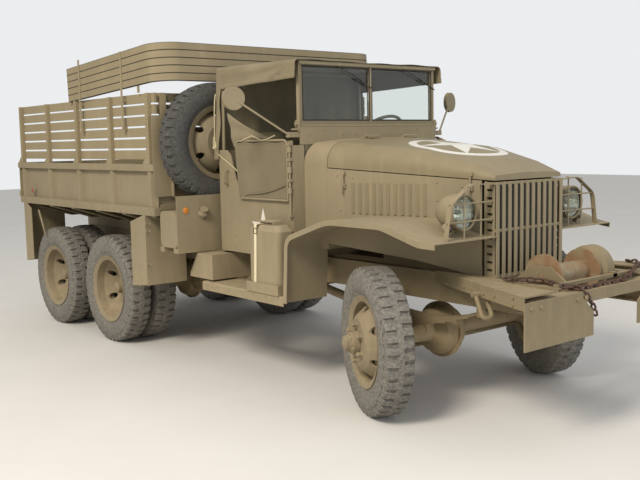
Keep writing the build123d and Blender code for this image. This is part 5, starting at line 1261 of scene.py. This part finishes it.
def hood_latch(word, side, number, x):
    """A coil spring over the hood's seam, a plate at each of its ends and a lever below."""
    surface = hood_side([x, x], [LATCH_TOP, LATCH_FOOT]) * [1, -side, 1]
    out = np.array(HOOD_SIDE_OUT) * [1, -side, 1]
    top, foot = surface + 12 * out
    coils = 6.5 + 1.2 * (np.arange(12) % 2)
    tube(f"{word}_latch_spring_{number}", np.linspace(top, foot, 12), coils, body_enamel)
    lever = curve_through([foot + 8 * out, foot + 16 * out - [0, 0, 26], foot + 9 * out - [0, 0, 52]], 5)
    tube(f"{word}_latch_handle_{number}", lever, 5, body_enamel)
    plates = [top - 6 * out, foot - 6 * out]
    blocks(f"{word}_latch_plates_{number}", plates, [(15, 6, 12), (17, 6, 16)], body_enamel)


grab = np.array([(-1675, CAB_SIDE - 1, 1491), (-1676, 778, 1476), (-1679, 782, 1435), (-1680, 778, 1394),
                 (-1681, CAB_SIDE - 1, 1379)])
bow_straps = np.array([(-2476, 1104, 2404), (-2360, 1104, 2120), (-3300, 1104, 2240)])
brace = np.array([(-4465, 1112, 1083), (-4395, 1112, 966), (-4325, 1112, 849)])
tail_lamp = [(-40, 0), (-40, 30), (-30, 44), (0, 46), (6, 44), (8, 38), (8, 0)]
tail_lens = [(6, 0), (6, 34), (11, 32), (14, 20), (15, 0)]
for word, side in (("right", -1), ("left", 1)):
    mirror = [1, side, 1]
    hood_latch(word, side, 0, 360.0)
    hood_latch(word, side, 1, -560.0)
    tube(f"{word}_grab_handle", curve_through(grab * mirror, 6), 7, body_enamel)
    blocks(f"{word}_bow_straps", bow_straps * mirror, [(13, 5, 26)], slat_enamel)
    tube(f"{word}_mudguard_brace", brace * mirror, 9, body_enamel)
    lamp_at = np.array([-4903.0, 780.0, 1090.0]) * mirror
    turned_piece(f"{word}_tail_lamp", tail_lamp, lamp_at, [-1, 0, 0], 40, body_enamel)
    turned_piece(f"{word}_tail_lens", tail_lens, lamp_at, [-1, 0, 0], 36, red_glass)
    blocks(f"{word}_tail_bracket", [(-4880, side * 780, 1136)], [(14, 20, 12)], body_enamel)
print("fittings placed")

# %% [markdown]
# The instrument panel has a few round gauges with black faces and plain rims. A plain dark block stands for
# the radiator's core behind the brush guard. The star on the cab's side is the same recognition sign as on
# the hood: a flat pentagram, ten corners at two radii in turn, laid on the sheet as a film of paint.

# %% Gauges, radiator core and the star on the side
GAUGE_X, STAR_X, STAR_Z, SIDE_STAR_TIP = -946, -1246, 1075, 150.0
gauge_black = smoky("gauge_face_lacquer", "#1E1D1B", "#2A2926", roughness=0.3)
gauges = [(GAUGE_X, y, 1632) for y in (-120, -20, 80, 470)] + [(GAUGE_X, y, 1640) for y in (220, 340)]
gauge_face = [(-2, 0), (-2, 36), (2, 36), (2, 0)]
gauge_rim = [(-2, 34), (-2, 41), (7, 41), (8, 38), (4, 34), (-2, 34)]
turned_piece("gauge_faces", gauge_face, gauges, [-1, 0, 0], 32, gauge_black)
turned_piece("gauge_rims", gauge_rim, gauges, [-1, 0, 0], 32, body_enamel)
needle_white = plain("gauge_needle_white", "#D8D5CB", Roughness=0.5)
blocks("gauge_needles", np.array(gauges) + [-3, 0, 8], [(0.6, 1.4, 15)], needle_white, edge=0)
corner = np.arange(10) * np.pi / 5
notch = SIDE_STAR_TIP * np.sin(np.pi / 10) / np.sin(3 * np.pi / 10)
reach = np.where(np.arange(10) % 2 == 0, SIDE_STAR_TIP, notch)
worn_white = enamel("brushed_white_star_paint", "#C9C4B6", "#DAD6CA", "#B9AE97", dusty=0.1, low=0.2)
for word, side in (("right", -1), ("left", 1)):
    rim_points = np.stack([STAR_X + reach * np.sin(corner), np.full(10, side * CAB_SIDE),
                           STAR_Z + reach * np.cos(corner)], axis=-1)
    middle = np.broadcast_to([STAR_X, side * CAB_SIDE, STAR_Z], (10, 3))
    inwards, outwards = [0, -side * 2, 0], [0, side * 0.8, 0]
    rows = np.concatenate([middle + inwards, rim_points + inwards, rim_points + outwards, middle + outwards])
    star = piece_from(f"{word}_side_star", place(rows), grid_faces(4, 10, close_columns=True), worn_white)
    fit(merged(star), "chassis")
blocks("radiator_core", [(500, 0, 1143)], [(3, 296, 268)], gauge_black, edge=0)
print("gauges and side stars fitted")

# %% [markdown]
# Seat cushions are duck covers over springs and hair. Each starts as a rounded block a little smaller than
# the finished cushion, is remeshed into even small faces, and is then blown up by cloth simulation, which
# gives the crown, the pulled-in sides and the fine creases that no formula has. How far a point may move is
# capped.

# %% Seat cushions
BACK_LEAN, CORNER_POWER = np.radians(10.0), 0.35
VOXEL_MM, PRESSURE, CAP_MM = 10, 4.0, 13


def pillow(centre, half, lean):
    """Rounded block: half lengths * (cosines and sines, each to CORNER_POWER with its sign), tipped back
    by lean about Y."""
    around, up = np.linspace(0, 2 * np.pi, 65)[:-1], np.linspace(-np.pi / 2, np.pi / 2, 33)
    u, v = np.meshgrid(up, around, indexing="ij")

    def squared(value):
        return np.sign(value) * np.abs(value) ** CORNER_POWER

    local = np.stack([squared(np.cos(u)) * squared(np.cos(v)), squared(np.cos(u)) * squared(np.sin(v)),
                      squared(np.sin(u))], axis=-1) * half
    x = local[..., 0] * np.cos(lean) - local[..., 2] * np.sin(lean)
    z = local[..., 0] * np.sin(lean) + local[..., 2] * np.cos(lean)
    return np.stack([x, local[..., 1], z], axis=-1) + centre


def settled_mesh(piece):
    """Replace the piece's mesh by what its modifiers make of it now, and drop the modifiers."""
    seen = piece.evaluated_get(bpy.context.evaluated_depsgraph_get())
    mesh = bpy.data.meshes.new_from_object(seen)
    piece.modifiers.clear()
    piece.data = mesh
    return piece


def points_of(mesh):
    """The mesh's points as an array."""
    flat = np.empty(len(mesh.vertices) * 3)
    mesh.vertices.foreach_get("co", flat)
    return flat.reshape(-1, 3)


def stuff(piece, voxel_mm, pressure, cap_mm):
    """Remesh, blow up for 20 frames with no gravity, and keep each point within cap_mm of its start."""
    even = piece.modifiers.new("even_faces", "REMESH")
    even.mode, even.voxel_size = "VOXEL", voxel_mm * MM
    settled_mesh(piece)
    start = points_of(piece.data)
    cloth = piece.modifiers.new("stuffing", "CLOTH")
    cloth.settings.use_pressure = True
    cloth.settings.uniform_pressure_force = pressure
    cloth.settings.effector_weights.gravity = 0
    for frame_number in range(1, 21):
        scene.frame_set(frame_number)
    settled_mesh(piece)
    scene.frame_set(1)
    move = points_of(piece.data) - start
    far = np.linalg.norm(move, axis=1, keepdims=True)
    capped = start + move * np.minimum(1, cap_mm * MM / np.maximum(far, 1e-9))
    piece.data.vertices.foreach_set("co", capped.ravel())
    piece.data.polygons.foreach_set("use_smooth", np.ones(len(piece.data.polygons), bool))
    smoother = piece.modifiers.new("cloth_smoothing", "SUBSURF")
    smoother.levels = smoother.render_levels = 1
    return piece


grids = []
for y in (-370.0, 370.0):
    grids.append(pillow((-1505, y, 1336), (212, 222, 36), 0.0))
    grids.append(pillow((-1737, y, 1592), (34, 222, 190), BACK_LEAN))
one = grid_faces(33, 64, close_columns=True)
verts = np.concatenate([grid.reshape(-1, 3) for grid in grids])
faces = np.concatenate([one + number * len(verts) // 4 for number in range(4)])
cushions = piece_from("padded_cushions", place(verts), faces, seat_duck, smooth=True)
stuff(merged(cushions), VOXEL_MM, PRESSURE, CAP_MM)
fit(cushions, "chassis")
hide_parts("seat_cushions")
low, high = points_of(cushions.data).min(axis=0), points_of(cushions.data).max(axis=0)
print("cushions reach from", low.round(3), "to", high.round(3), len(cushions.data.polygons), "faces")
